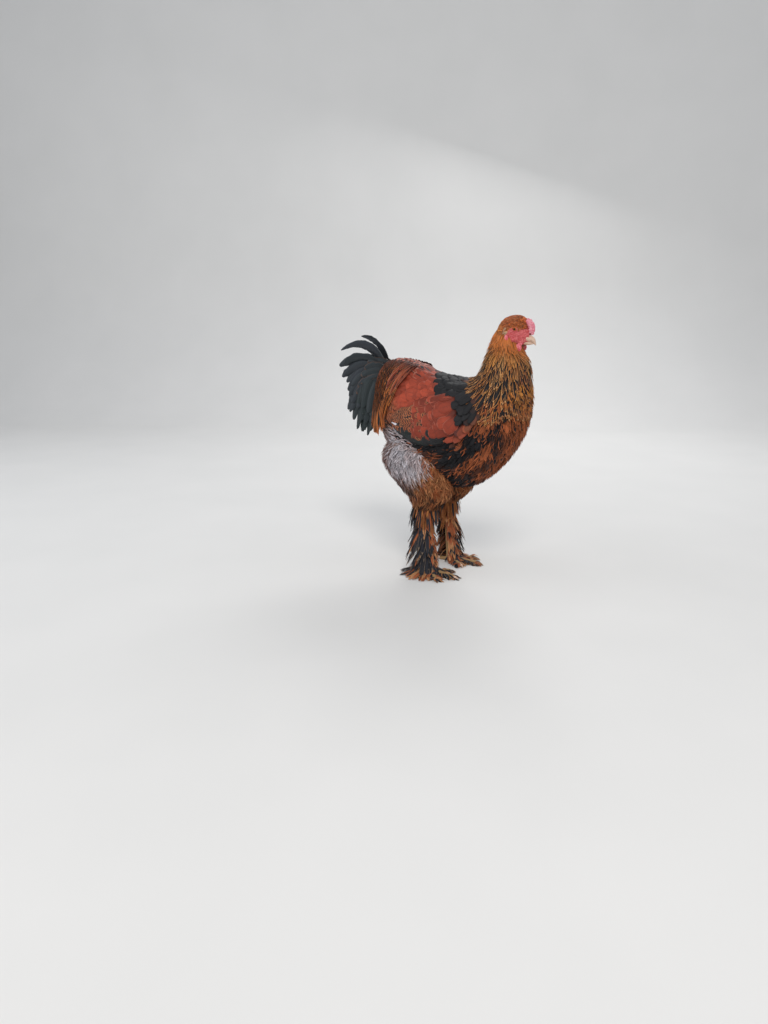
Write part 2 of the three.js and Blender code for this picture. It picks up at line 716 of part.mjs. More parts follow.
function footFeathers(sign) {
  const random = draws(97 + sign);
  const ankle = v3(ANKLE.x, sign * (LEG_SPREAD + 2), 0);
  const low = [50, 98, 146].map((each, i) => {
    const turn = sign * degrees(each + 3 * random());
    const root = ankle.clone().add(v3(6 * Math.cos(turn), 6 * Math.sin(turn), 11));
    const length = mix(46, 62, i / 2);
    return plume(root, { turn, length, slope: 0.02, curl: -0.13, half: 15, form: ROUND });
  });
  const high = [72, 118].map((each, i) => {
    const turn = sign * degrees(each + 3 * random());
    const root = ankle.clone().add(v3(5 * Math.cos(turn), 5 * Math.sin(turn), 18));
    return plume(root, { turn, length: mix(36, 44, i), slope: 0.2, curl: -0.42, half: 14, form: ROUND });
  });
  const heading = sign * degrees(TOES[2].turn);
  const onToe = [34].map((distance) => {
    const root = ankle.clone().add(v3(distance * Math.cos(heading), distance * Math.sin(heading), 8));
    const turn = sign * degrees(92);
    return plume(root, { turn, length: 26, slope: 0.3, curl: -0.42, half: 11, form: ROUND });
  });
  return [...low, ...high, ...onToe];
}

function toeShapes(toe, ankle, sign) {
  const heading = sign * degrees(toe.turn);
  const ahead = v3(Math.cos(heading), Math.sin(heading), 0);
  const at = (distance, z) => ankle.clone().addScaledVector(ahead, distance).setZ(z);
  const line = [
    at(0, ANKLE.z - 3),
    at(toe.length * 0.3, toe.r),
    at(toe.length * 0.7, 0.8 * toe.r),
    at(toe.length, 0.72 * toe.r),
  ];
  const radii = Array.from({ length: 5 }, (_, i) => {
    const pads = 1 + 0.05 * Math.cos(i * Math.PI);
    return toe.r * (1.12 - 0.065 * i) * pads;
  });
  const clawLine = [
    at(toe.length + GAP, 5),
    at(toe.length + CLAW.length * 0.5, 4.8),
    at(toe.length + CLAW.length, 1),
  ];
  const claw = bar(clawLine, [CLAW.r, CLAW.r * 0.9, CLAW.r * 0.62, 0.7], 5);
  return { toe: bar(line, radii, 7), claw };
}

function leg({ name, sign }) {
  const ankle = v3(ANKLE.x, sign * (LEG_SPREAD + 2), ANKLE.z);
  const hock = v3(HOCK.x, sign * LEG_SPREAD, HOCK.z);
  const shankTube = bar([hock, hock.clone().lerp(ankle, 0.5), ankle], [12, 11, 10, 10.4, 11], 10);
  const shankShapes = [shankTube, ...shankFeathers(sign)];
  const toes = TOES.map((toe) => ({ ...toe, ...toeShapes(toe, ankle, sign) }));
  const floor = new THREE.BoxGeometry(600, 600, 100);
  floor.translate(0, 0, -50);

  const thigh = joinedSolid([thighGeometry(sign), ...hem(sign), ...hockFeathers(sign)]);
  const thighSpace = joinedSolid([thighGeometry(sign)], GAP);
  const shank = joinedSolid(shankShapes).subtract(thighSpace);
  const shankRoom = joinedSolid(shankShapes, 2 * GAP).subtract(thighSpace);
  piece(`thigh_${name}`, thigh.subtract(bodyRoom).subtract(shankRoom), 0x6f4630);
  piece(`shank_${name}`, beyond(shank, ANKLE_CUT, 1), DARK_BROWN);
  for (const toe of toes) piece(`claw_${toe.name}_${name}`, solid(toe.claw), HORN, 0.4);

  const ball = egg([ankle.x, ankle.y, ANKLE.z - 2], [14, 14, 13], 0);
  const footShapes = [ball, ...toes.map(({ toe }) => toe), ...footFeathers(sign)];
  const foot = joinedSolid(footShapes).subtract(solid(floor));
  const clawRoom = joinedSolid(toes.map(({ claw }) => claw), GAP);
  piece(`foot_${name}`, beyond(foot.subtract(clawRoom), ANKLE_CUT, -1), DARK_BROWN);
}
SIDES.forEach(leg);

const box = new THREE.Box3().setFromObject(bird);
bird.position.set(-(box.min.x + box.max.x) / 2, -(box.min.y + box.max.y) / 2, 0);
export default bird;
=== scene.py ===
# A standing Brahma cockerel at life size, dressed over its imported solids.
# Lengths are in metres. The bird faces +X, its left side is +Y, and the floor is z = 0.
import bpy
import math
from functools import partialmethod

import numpy as np
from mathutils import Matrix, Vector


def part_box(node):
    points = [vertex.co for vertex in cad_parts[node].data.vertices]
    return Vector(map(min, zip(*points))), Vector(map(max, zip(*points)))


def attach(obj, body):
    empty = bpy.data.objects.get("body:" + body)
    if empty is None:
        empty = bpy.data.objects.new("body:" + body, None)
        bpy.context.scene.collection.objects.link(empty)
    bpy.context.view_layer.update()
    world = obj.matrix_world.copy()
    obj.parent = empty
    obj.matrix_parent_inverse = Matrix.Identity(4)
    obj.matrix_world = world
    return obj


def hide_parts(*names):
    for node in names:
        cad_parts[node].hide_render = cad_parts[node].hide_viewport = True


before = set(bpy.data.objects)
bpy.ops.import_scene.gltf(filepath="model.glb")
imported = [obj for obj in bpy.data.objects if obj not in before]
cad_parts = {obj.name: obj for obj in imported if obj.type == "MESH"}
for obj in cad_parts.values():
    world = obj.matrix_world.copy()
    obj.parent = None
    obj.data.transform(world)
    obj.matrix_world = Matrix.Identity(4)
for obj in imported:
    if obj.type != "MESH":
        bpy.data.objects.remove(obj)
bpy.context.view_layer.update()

# The bird's own form: the trunk with its neck, the skull, the thighs and the folded wings. Each is a surface
# of two numbers: s runs against the lie of the feathers and r goes round. The places come from stations in
# millimetres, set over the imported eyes.
MM = 0.001
EYE_AHEAD = 194 * MM
SIDES = (("right", -1), ("left", 1))


def middle(node):
    low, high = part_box(node)
    return np.array((low + high) / 2)


eyes_middle = (middle("eye_right") + middle("eye_left")) / 2
ORIGIN = np.array([eyes_middle[0] - EYE_AHEAD, eyes_middle[1], 0.0])

# Back line x and z, breast and belly line x and z, and half width, from rump to nape.
TRUNK = [
    (-156, 462, -157, 440, 10),
    (-150, 494, -152, 385, 44),
    (-130, 511, -137, 326, 68),
    (-98, 513, -108, 276, 87),
    (-55, 505, -62, 243, 99),
    (-8, 491, -10, 224, 105),
    (40, 484, 46, 216, 107),
    (74, 481, 104, 228, 106),
    (94, 485, 154, 266, 101),
    (104, 493, 193, 315, 94),
    (110, 503, 219, 368, 85),
    (115, 516, 229, 424, 73),
    (120, 534, 227, 478, 60),
    (126, 554, 223, 516, 47),
    (134, 575, 206, 546, 33),
    (147, 601, 194, 587, 18),
]
LAST = len(TRUNK) - 1
# Place ahead of the middle of the skull, top, bottom and half width, from nape to beak.
HEAD = (181, 589)
SKULL = [
    (-33, 4, -8, 9),
    (-29, 15, -22, 17),
    (-19, 25.5, -31, 22.5),
    (-5, 31, -34.5, 25),
    (9, 32.5, -35, 25.5),
    (20, 31.5, -34, 23.5),
    (29, 28, -32, 18.5),
    (36, 20, -29, 12.5),
    (41, 7, -27, 7.5),
]
SKULL_FULL = 0.85
# Height, place ahead and to the side, and half sizes along and across, from the hock up.
THIGH = [
    (136, -8, 56, 18, 16),
    (154, -9, 56.5, 25, 22),
    (174, -3, 57, 38, 30),
    (198, 2, 58, 58, 38),
    (226, -10, 59, 74, 46),
    (256, -26, 60, 86, 51),
    (288, -36, 58, 90, 52),
    (318, -34, 52, 82, 46),
    (345, -28, 44, 62, 34),
]


def through(stations, t):
    """Points on a smooth curve through evenly counted stations, with t from 0 to 1."""
    values = np.asarray(stations, float)
    ends = np.vstack([2 * values[:1] - values[1:2], values, 2 * values[-1:] - values[-2:-1]])
    place = np.clip(t, 0, 1) * (len(values) - 1)
    i = np.minimum(place.astype(int), len(values) - 2)
    w = (place - i)[..., None]
    a, b, c, d = (ends[i + k] for k in range(4))
    return 0.5 * (2 * b + (c - a) * w + (2 * a - 5 * b + 4 * c - d) * w**2 + (3 * b - a - 3 * c + d) * w**3)


def placed(x, y, z):
    return ORIGIN + np.stack(np.broadcast_arrays(x, y, z), -1) * MM


def trunk(s, r):
    top_x, top_z, low_x, low_z, half = np.moveaxis(through(TRUNK, s), -1, 0)
    x = (top_x + low_x) / 2 + (top_x - low_x) / 2 * np.cos(r)
    z = (top_z + low_z) / 2 + (top_z - low_z) / 2 * np.cos(r)
    return placed(x, half * np.sin(r), z)


def skull(s, r):
    x, top, low, half = np.moveaxis(through(SKULL, s), -1, 0)
    z = (top + low + (top - low) * np.cos(r)) / 2
    y = half * np.sign(np.sin(r)) * np.abs(np.sin(r)) ** SKULL_FULL
    return placed(HEAD[0] + x, y, HEAD[1] + z)


def thigh_of(sign):
    def thigh(s, r):
        z, x, y, long, wide = np.moveaxis(through(THIGH, s), -1, 0)
        return placed(x + long * np.cos(-r), sign * y + wide * np.sin(-r), z)

    return thigh


def blend(a, b, t):
    return a + (b - a) * t


def smooth(x, low, high):
    t = np.clip((x - low) / (high - low), 0, 1)
    return t * t * (3 - 2 * t)


def unit(v):
    return v / np.maximum(np.linalg.norm(v, axis=-1, keepdims=True), 1e-12)


def tangents(surface, s, r, step=1e-3):
    """The ways along and round a surface, and its outward direction."""
    up, down = np.minimum(s + step, 1), np.maximum(s - step, 0)
    along = (surface(up, r) - surface(down, r)) / (up - down)[..., None]
    round_it = (surface(s, r + step) - surface(s, r - step)) / (2 * step)
    return along, round_it, unit(np.cross(along, round_it))


def raised(surface, s, r, lift):
    return surface(s, r) + tangents(surface, s, r)[2] * np.asarray(lift)[..., None]


# A folded wing on the trunk: its span in s of the trunk, its middle and half height in degrees round it.
WING = {"front": 0.5, "rear": 0.24, "middle": (63, 90), "spread": (30, 22), "thick": 9.5 * MM}


def wing_of(sign):
    def wing(s, r):
        down = 1 - s
        across = r if sign > 0 else 1 - r
        full = np.sin(math.pi * np.clip(down, 0.001, 0.999) ** 0.62) ** 0.5
        open_ = blend(*WING["spread"], down) * blend(0.14, 1, full)
        q = 2 * across - 1
        angle = np.radians(blend(*WING["middle"], down) + open_ * q)
        edge = np.sqrt(np.maximum(0.02, 1 - q * q))
        thick = WING["thick"] * edge * blend(0.5, 1, full)
        return raised(trunk, blend(WING["front"], WING["rear"], down), sign * angle, thick)

    return wing


# Saddle feathers start on the back and sweep down the side, and hang free past the share hang of their way.
SADDLE = {"front": 0.285, "rear": 0.06, "hang": 0.7, "sweep": 126, "fall": 250 * MM}


def saddle_of(sign):
    def saddle(s, r):
        down = 1 - s
        across = r if sign > 0 else 1 - r
        stay = np.minimum(down, SADDLE["hang"])
        start = blend(SADDLE["front"], SADDLE["rear"], across)
        fall = SADDLE["fall"] * (down - stay)
        at = trunk(start - (start - 0.04) * 0.5 * stay, sign * np.radians(SADDLE["sweep"] * stay + 4))
        return at + np.stack([-blend(0.06, 0.26, across) * fall, 0 * fall, -fall], -1)

    return saddle


# How far the skin lies inside the coat's outer surface.
def trunk_depth(s, r):
    k = s * LAST
    neck = smooth(k, 8.5, 10.5) * (1 - smooth(k, 12.6, LAST))
    rump = 1 - smooth(k, 2.5, 5)
    return (6 + 5 * neck + 2 * rump) * MM * smooth(LAST - k, 0, 1.2) * smooth(k, 0, 0.6)


def thigh_depth(s):
    return blend(5, 14, smooth(s, 0.1, 0.45)) * MM


SKULL_DEPTH = 1.2 * MM
WING_DEPTH = 4 * MM


# The markings, which skin and coat share. Colours are linear light.
BLACK = (0.011, 0.011, 0.013)
# Black with a green tint: the black is the feathers' own colour, and the green is painted sheen.
BLACK_WITH_GREEN_SHEEN = (0.006, 0.012, 0.011)
BLACK_BLUE = (0.02, 0.022, 0.03)
GOLD = (0.62, 0.25, 0.055)
PALE_GOLD = (0.7, 0.44, 0.21)
ORANGE = (0.56, 0.14, 0.03)
RED = (0.2, 0.028, 0.012)
BRICK = (0.34, 0.05, 0.022)
PINK_EDGE = (0.5, 0.22, 0.16)
RUST = (0.37, 0.1, 0.036)
TAN = (0.5, 0.23, 0.1)
BROWN = (0.1, 0.045, 0.024)
CREAM = (0.56, 0.4, 0.27)
GREY = (0.3, 0.21, 0.2)
WHITE = (0.62, 0.59, 0.63)
FACE = (0.55, 0.07, 0.075)


def tint(colour, count):
    return np.tile(np.asarray(colour, float), (count, 1))


def mixed(a, b, t):
    return np.asarray(a) + (np.asarray(b) - np.asarray(a)) * np.asarray(t)[:, None]


def ripple(points, scale, seed):
    """A soft noise of about 0 to 1 over places, from waves that point all ways."""
    draw = np.random.default_rng(seed)
    total = np.zeros(len(points))
    for _ in range(9):
        wave = unit(draw.normal(size=3)) * draw.uniform(0.6, 1.7) * 2 * math.pi / scale
        total += np.sin(points @ wave + draw.uniform(0, 6.28))
    return np.clip(0.5 + total / 6.5, 0, 1)


def layered(ground, *layers):
    """Colours laid over one another, each with its share at each place."""
    for colour, share in layers:
        ground = mixed(ground, colour, share)
    return ground


def degrees_round(r):
    """The angle from the back line, 0 to 180 on either side."""
    return np.abs(np.degrees((r + math.pi) % (2 * math.pi) - math.pi))


def pencilled(s, r):
    """1 on the brown barred feathers between the wing's bow and the saddle."""
    k, side = s * LAST, degrees_round(r)
    behind_bow = 1 - smooth(k - 0.012 * (side - 60), 4.0, 4.6)
    return behind_bow * smooth(side, 28, 42) * (1 - smooth(side, 96, 104))


def down_ground(points):
    """Down of the thighs and rump: a white patch on each flank, pinkish grey round it, tan in front."""
    x, y, z = ((points - ORIGIN) / MM).T
    patchy, fine = ripple(points, 34 * MM, 63), ripple(points, 12 * MM, 64)
    behind = 1 - smooth(x + 0.3 * (z - 260) + 20 * (fine - 0.5), -70, -18)
    white = 1 - smooth(np.hypot((x + 40) / 62, (z - 300) / 60) + 0.25 * (fine - 0.5), 0.6, 1.05)
    return layered(
        mixed(RUST, TAN, patchy),
        (BROWN, 0.55 * (1 - smooth(z, 172, 215))),
        (GREY, 0.9 * behind * smooth(z, 190, 235)),
        (BLACK, 0.85 * smooth(ripple(points, 26 * MM, 65), 0.62, 0.74) * (1 - smooth(z, 215, 270))),
        (BROWN, 0.7 * smooth(z, 345, 400)),
        (WHITE, white * smooth(np.abs(y), 25, 50) * (0.7 + 0.3 * patchy)),
    )


def trunk_ground(s, r):
    """The main colour of the body at a place on the trunk."""
    k, side = s * LAST, degrees_round(r)
    points = trunk(s, r)
    patchy, fine = ripple(points, 46 * MM, 3), ripple(points, 17 * MM, 5)
    blotch = smooth(patchy + 0.3 * fine, 0.62, 0.76) * smooth(side, 84, 96)
    under = smooth(side + 12 * (fine - 0.5), 122, 136) * (1 - smooth(k + 1.2 * (fine - 0.5), 7.2, 8.2))
    back = 1 - smooth(side + 8 * (fine - 0.5), 84, 94)
    mantle = smooth(k - 0.024 * side, 5.45, 5.7) * (1 - smooth(side + 8 * (fine - 0.5), 78, 90))
    bar = smooth(side, 86, 92) * (1 - smooth(side + 10 * fine, 112, 122)) * (1 - smooth(k, 7, 8))
    return layered(
        RUST,
        (ORANGE, 0.35 * smooth(k, 9, 12.5)),
        (BLACK, blotch * (1 - 0.8 * smooth(side, 135, 160))),
        (BLACK, under),
        (BRICK, back * (1 - smooth(k, 8, 9.4))),
        (RUST, pencilled(s, r)),
        (BLACK, mantle * (1 - smooth(k, 9.6, 10.6))),
        (BLACK, bar * smooth(k, 2.6, 3.4)),
        (GOLD, smooth(k, 10.3, 12.4)),
        (down_ground(points), smooth(side, 104, 114) * (1 - smooth(k, 5.0, 6.0))),
    )


# The sculpted skin under the coat. The forms are closed, joined and remeshed into one surface with no seam,
# head and feet more finely than the body. The bare face, its folds and lids are raised in the surface.


class Value:
    """A socket of a material's nodes. Arithmetic on it adds Math nodes."""

    def __init__(self, paint, socket):
        self.paint, self.socket = paint, socket

    def _math(self, operation, *others):
        return self.paint.node("ShaderNodeMath", {"operation": operation}, dict(enumerate((self, *others))))

    __add__ = __radd__ = partialmethod(_math, "ADD")
    __sub__ = partialmethod(_math, "SUBTRACT")
    __mul__ = __rmul__ = partialmethod(_math, "MULTIPLY")
    __truediv__ = partialmethod(_math, "DIVIDE")
    __pow__ = partialmethod(_math, "POWER")
    __abs__ = partialmethod(_math, "ABSOLUTE")
    low = partialmethod(_math, "MINIMUM")
    wave = partialmethod(_math, "SINE")

    def __rsub__(self, other):
        return self.paint.node("ShaderNodeMath", {"operation": "SUBTRACT"}, {0: other, 1: self})

    def step(self, start, end):
        """0 below start and 1 above end, smooth between."""
        settings = {"interpolation_type": "SMOOTHSTEP"}
        return self.paint.node("ShaderNodeMapRange", settings, {0: self, 1: start, 2: end, 3: 0, 4: 1})


class Paint:
    """A material, made of nodes that feed one Principled shader."""

    def __init__(self, name, **finish):
        self.material = bpy.data.materials.new(name)
        self.material.use_nodes = True
        self.tree = self.material.node_tree
        self.shader = self.tree.nodes["Principled BSDF"]
        for socket, value in finish.items():
            self.shader.inputs[socket.replace("_", " ")].default_value = value

    def node(self, kind, settings=None, values=None, out=0):
        made = self.tree.nodes.new(kind)
        for key, value in (settings or {}).items():
            setattr(made, key, value)
        for key, value in (values or {}).items():
            if isinstance(value, Value):
                self.tree.links.new(value.socket, made.inputs[key])
            else:
                made.inputs[key].default_value = value
        return Value(self, made.outputs[out])

    def mix(self, factor, a, b, kind="MIX"):
        a, b = (v if isinstance(v, Value) else (*v, 1) for v in (a, b))
        settings = {"data_type": "RGBA", "blend_type": kind, "clamp_factor": True}
        return self.node("ShaderNodeMix", settings, {0: factor, 6: a, 7: b}, 2)

    def scaled(self, vector, scale):
        return self.node("ShaderNodeVectorMath", {"operation": "MULTIPLY"}, {0: vector, 1: scale})

    def packed(self, kind, *parts):
        return self.node(kind, None, dict(enumerate(parts)))

    def split(self, kind, value):
        """The three parts of a vector or a colour."""
        outputs = self.node(kind, None, {0: value}).socket.node.outputs
        return [Value(self, outputs[k]) for k in range(3)]

    def place(self):
        return self.node("ShaderNodeTexCoord", out="Object")

    def noise(self, vector, scale, detail=2.0):
        values = {"Vector": vector, "Scale": scale, "Detail": detail, "Roughness": 0.5}
        return self.node("ShaderNodeTexNoise", None, values)

    def colours(self, name, out="Color"):
        return self.node("ShaderNodeAttribute", {"attribute_name": name}, None, out)

    def bump(self, height, distance, strength):
        values = {"Strength": strength, "Distance": distance, "Height": height}
        return self.node("ShaderNodeBump", None, values)

    def feed(self, **values):
        for socket, value in values.items():
            self.tree.links.new(value.socket, self.shader.inputs[socket.replace("_", " ")])
        return self.material


def new_mesh(name, points, faces, flat=None):
    """An object from an array of points, and arrays of faces, each with its own count of corners."""
    me = bpy.data.meshes.new(name)
    corners = np.concatenate([f.ravel() for f in faces])
    sizes = np.concatenate([np.full(len(f), f.shape[1]) for f in faces])
    starts = np.concatenate([[0], np.cumsum(sizes)[:-1]])
    me.vertices.add(len(points))
    me.vertices.foreach_set("co", np.asarray(points, np.float32).ravel())
    me.loops.add(len(corners))
    me.loops.foreach_set("vertex_index", corners.astype(np.int32))
    me.polygons.add(len(starts))
    me.polygons.foreach_set("loop_start", starts.astype(np.int32))
    if flat is not None:
        me.attributes.new("sharp_face", "BOOLEAN", "FACE").data.foreach_set("value", flat)
    me.update(calc_edges=True)
    me.validate()
    made = bpy.data.objects.new(name, me)
    bpy.context.scene.collection.objects.link(made)
    return made


def tube_of(rings):
    """A closed surface over rings of points, each with the same count."""
    rings = np.asarray(rings)
    count, sides = rings.shape[:2]
    i, j = np.meshgrid(np.arange(count - 1), np.arange(sides), indexing="ij")
    a, b = i * sides + j, i * sides + (j + 1) % sides
    walls = np.stack([a, b, b + sides, a + sides], -1).reshape(-1, 4)
    ends = np.arange(sides)
    return rings.reshape(-1, 3), [walls, ends[::-1][None], ends[None] + (count - 1) * sides]


def grid_of(surface, rings, sides, depth):
    s, r = np.meshgrid(np.linspace(0, 1, rings), np.arange(sides) * 2 * math.pi / sides, indexing="ij")
    return tube_of(surface(s, r) - tangents(surface, s, r)[2] * depth(s, r)[..., None])


def joined(name, shapes):
    points, faces, shift = [], [], 0
    for place, parts in shapes:
        points.append(place)
        faces += [part + shift for part in parts]
        shift += len(place)
    return new_mesh(name, np.vstack(points), faces)


def fused(name, shapes, grain, rounds, factor=0.5):
    """One closed surface over shapes that overlap, remeshed and then smoothed."""
    made = joined(name, shapes)
    remesh = made.modifiers.new("remesh", "REMESH")
    remesh.mode, remesh.voxel_size = "VOXEL", grain
    soften = made.modifiers.new("soften", "SMOOTH")
    soften.iterations, soften.factor = rounds, factor
    view = bpy.context.evaluated_depsgraph_get()
    plain = bpy.data.meshes.new_from_object(made.evaluated_get(view))
    made.modifiers.clear()
    old, made.data = made.data, plain
    bpy.data.meshes.remove(old)
    return made


def points_of(made):
    place = np.zeros(len(made.data.vertices) * 3, np.float32)
    made.data.vertices.foreach_get("co", place)
    return place.reshape(-1, 3).astype(float)


def move_points(made, place):
    made.data.vertices.foreach_set("co", place.astype(np.float32).ravel())
    made.data.update()


def colour_points(made, name, values):
    if values.shape[1] == 3:
        values = np.hstack([values, np.ones((len(values), 1))])
    layer = made.data.attributes.new(name, "FLOAT_COLOR", "POINT")
    layer.data.foreach_set("color", values.astype(np.float32).ravel())


def ball(at, size, turn=0.0, rings=17, sides=24):
    """A closed egg shape, turned about the side axis by turn degrees."""
    s = np.linspace(0.001, math.pi - 0.001, rings)[:, None]
    r = np.arange(sides) * 2 * math.pi / sides
    x, y, z = -np.cos(s) * size[0], np.sin(s) * np.sin(r) * size[1], np.sin(s) * np.cos(r) * size[2]
    c, w = math.cos(math.radians(turn)), math.sin(math.radians(turn))
    return tube_of(placed(at[0] + x * c - z * w, at[1] + y, at[2] + x * w + z * c))


def bar_of(line, radii, sides=20, flat=1.0):
    """A closed bar through points in millimetres, with its radius at each of many even places."""
    t = np.linspace(0, 1, len(radii))
    at = through(line, t)
    ahead = unit(np.gradient(at, axis=0))
    side = unit(np.cross([0, 0, 1.0], ahead) + 1e-6 * np.array([0, 1.0, 0]))
    up = np.cross(ahead, side)
    angle = (np.arange(sides) + 0.5) * 2 * math.pi / sides
    radii = np.asarray(radii, float)[:, None, None]
    across = np.cos(angle)[None, :, None] * side[:, None] + flat * np.sin(angle)[None, :, None] * up[:, None]
    return tube_of(placed(*np.moveaxis(at[:, None] + radii * across, -1, 0)))


LEG_SPREAD = 56
HOCK = np.array([-8.0, LEG_SPREAD, 148])
ANKLE = np.array([6.0, LEG_SPREAD + 2, 17])
TAIL_ROOT = {"at": (-163, 0, 464), "size": (29, 23, 44)}
EYE = {"at": (13, 18.6, 3), "r": 7.0, "open": (4.8, 3.1), "slant": -16}
BODY_GRAIN = 3.4 * MM
HEAD_GRAIN = 0.85 * MM
LEG_GRAIN = 1.5 * MM


def wing_pad(sign):
    wing = wing_of(sign)
    s, r = np.meshgrid(np.linspace(0.02, 0.98, 40), np.linspace(0, 1, 16), indexing="ij")
    outer = raised(wing, s, r, np.full(s.shape, -WING_DEPTH))
    inner = raised(wing, s, r, np.full(s.shape, -WING["thick"] - 14 * MM))[:, ::-1]
    return tube_of(np.concatenate([outer, inner], 1))


body_shapes = [
    grid_of(trunk, 90, 72, trunk_depth),
    ball(TAIL_ROOT["at"], TAIL_ROOT["size"]),
    *[grid_of(thigh_of(sign), 40, 48, lambda s, r: thigh_depth(s)) for _, sign in SIDES],
    *[wing_pad(sign) for _, sign in SIDES],
]
body = fused("body_form", body_shapes, BODY_GRAIN, 6)

# Folds of the bare face, as eggs in millimetres from the middle of the skull: place, half sizes and turn.
FACE_FOLDS = [
    ((12, 18.4, 12.5), (11, 3.8, 4), 10),
    ((3, 20.5, -6), (8, 4.5, 6), -30),
    ((14, 18.5, -9), (11, 5, 5.5), 12),
    ((24, 13.5, -12), (8, 5, 7), 30),
    ((8, 19, -19), (12, 4.5, 6), 10),
    ((22, 12, -24), (9, 4, 5.5), 0),
]


def head_at(x, y, z):
    return (HEAD[0] + x, y, HEAD[1] + z)


head_shapes = [
    grid_of(skull, 60, 64, lambda s, r: np.full(s.shape, SKULL_DEPTH)),
    grid_of(lambda s, r: trunk(0.8 + 0.2 * s, r), 30, 60, lambda s, r: trunk_depth(0.8 + 0.2 * s, r)),
    *[ball(head_at(x, sign * y, z), *egg) for _, sign in SIDES for (x, y, z), *egg in FACE_FOLDS],
]
head = fused("head_form", head_shapes, HEAD_GRAIN, 8)


def from_skull(points):
    return (points - ORIGIN) / MM - np.array([HEAD[0], 0, HEAD[1]])


def bare_skin(points):
    """1 where the face is bare: round the eye, down to the wattles and forward to the beak."""
    x, y, z = from_skull(points).T
    cheek = 1 - smooth(np.hypot((x - 12) / 20, (z + 12) / 19), 0.86, 1.06)
    gape = smooth(x, 22, 28) * (1 - smooth(z, 0, 7)) * smooth(z, -33, -27)
    return np.maximum(cheek, gape) * (1 - smooth(z + 0.12 * (x - 10), 6.5, 9)) * smooth(np.abs(y), 2, 6)


# The eye sits in a shallow bowl between two rings of lid, and small bumps roughen the bare skin.
place = points_of(head)
local = from_skull(place)
side_on = local[:, [0, 2]] - [EYE["at"][0], EYE["at"][2]]
slant = math.radians(EYE["slant"])
c, w = math.cos(slant), math.sin(slant)
from_eye = np.hypot(side_on @ [c, w] / EYE["open"][0], side_on @ [-w, c] / EYE["open"][1])
sideways = np.abs(local[:, 1]) > 12
bowl = (1 - smooth(from_eye, 0.75, 1.1)) * sideways
lid = np.exp(-(((from_eye - 1.32) / 0.32) ** 2)) * sideways
lid += 0.45 * np.exp(-(((from_eye - 2.3) / 0.3) ** 2)) * sideways
grain = ripple(place, 3.4 * MM, 21) + 0.7 * ripple(place, 1.9 * MM, 22) - 0.85
place[:, 1] += np.sign(local[:, 1]) * (-5.5 * bowl + 2.5 * lid) * MM
rough = bare_skin(place) * (1 - bowl) * 1.1 * MM
normals = np.zeros(len(place) * 3, np.float32)
head.data.vertices.foreach_get("normal", normals)
place += normals.reshape(-1, 3) * (grain * rough)[:, None]
move_points(head, place)

# Shanks and toes, with the scutes as ridges round them.
MIDDLE_TOE = 74
TOES = {
    "middle": (4, MIDDLE_TOE, 7),
    "inner": (-34, 0.74 * MIDDLE_TOE, 6.2),
    "outer": (42, 0.78 * MIDDLE_TOE, 6.2),
    "hind": (188, 0.4 * MIDDLE_TOE, 5.6),
}
CLAW = {"length": 15, "r": 3.6}


def toe_line(name, sign):
    turn, length, r = TOES[name]
    turn = sign * math.radians(turn)
    ahead = np.array([math.cos(turn), math.sin(turn), 0])
    ankle = ANKLE * [1, sign, 0]
    heights = (ANKLE[2] - 3, r, 0.8 * r, 0.72 * r)
    return [ankle + ahead * length * t + [0, 0, z] for t, z in zip((0, 0.3, 0.7, 1), heights)], ahead


def scuted(radius, length, step=4.4):
    """Radii along a scaled limb: each scute rises towards its lower edge."""
    t = np.linspace(0, 1, int(length / 0.9))
    tooth = (t * length / step) % 1
    return radius(t) * (1 + 0.05 * tooth)


leg_shapes = []
for _, sign in SIDES:
    hock, ankle = HOCK * [1, sign, 1], ANKLE * [1, sign, 1]
    length = np.linalg.norm(hock - ankle)
    line = [hock + (hock - ankle) * 0.12, hock, blend(hock, ankle, 0.5), ankle]
    shank = scuted(lambda t: 9.4 + 2.4 * np.abs(2 * t - 1.1) ** 2, length * 1.12)
    leg_shapes.append(bar_of(line, shank, 28))
    leg_shapes.append(ball(ankle - [0, 0, 3], (12, 12, 11)))
    for name, (_, length, r) in TOES.items():
        pads = scuted(lambda t: r * (1.05 - 0.22 * t + 0.05 * np.cos(t * 15)), length, 3.6)
        leg_shapes.append(bar_of(toe_line(name, sign)[0], pads, 24))
legs = fused("leg_form", leg_shapes, LEG_GRAIN, 1, 0.3)
place = points_of(legs)
place[:, 2] = np.maximum(place[:, 2], 0.2 * MM)
move_points(legs, place)


def merged(name, objects):
    """One object from several."""
    with bpy.context.temp_override(active_object=objects[0], selected_editable_objects=objects):
        bpy.ops.object.join()
    objects[0].name = objects[0].data.name = name
    return objects[0]


def skin_colours(points):
    """The skin's colour follows the coat's markings over the nearest part of the trunk."""
    s, r = np.meshgrid(np.linspace(0.01, 0.99, 120), np.linspace(-math.pi, math.pi, 120), indexing="ij")
    s, r = s.ravel()[::3], r.ravel()[::3]
    coarse = trunk(s, r)
    nearest = np.empty(len(points), int)
    for i in range(0, len(points), 2000):
        nearest[i : i + 2000] = ((points[i : i + 2000, None] - coarse) ** 2).sum(-1).argmin(1)
    x, _, z = ((points - ORIGIN) / MM).T
    ahead, _, above = from_skull(points).T
    return layered(
        trunk_ground(s, r)[nearest],
        (ORANGE, smooth(z, 590, 600)),
        (BROWN, 1 - smooth(z, 225, 265)),
        (BLACK, 1 - smooth(x, -164, -148)),
        ((0.36, 0.22, 0.1), 1 - smooth(z, 128, 140)),
        ((0.3, 0.05, 0.035), smooth(ahead, 20, 30) * smooth(above, -40, -30) * (1 - smooth(above, 20, 30))),
        (FACE, bare_skin(points)),
    )


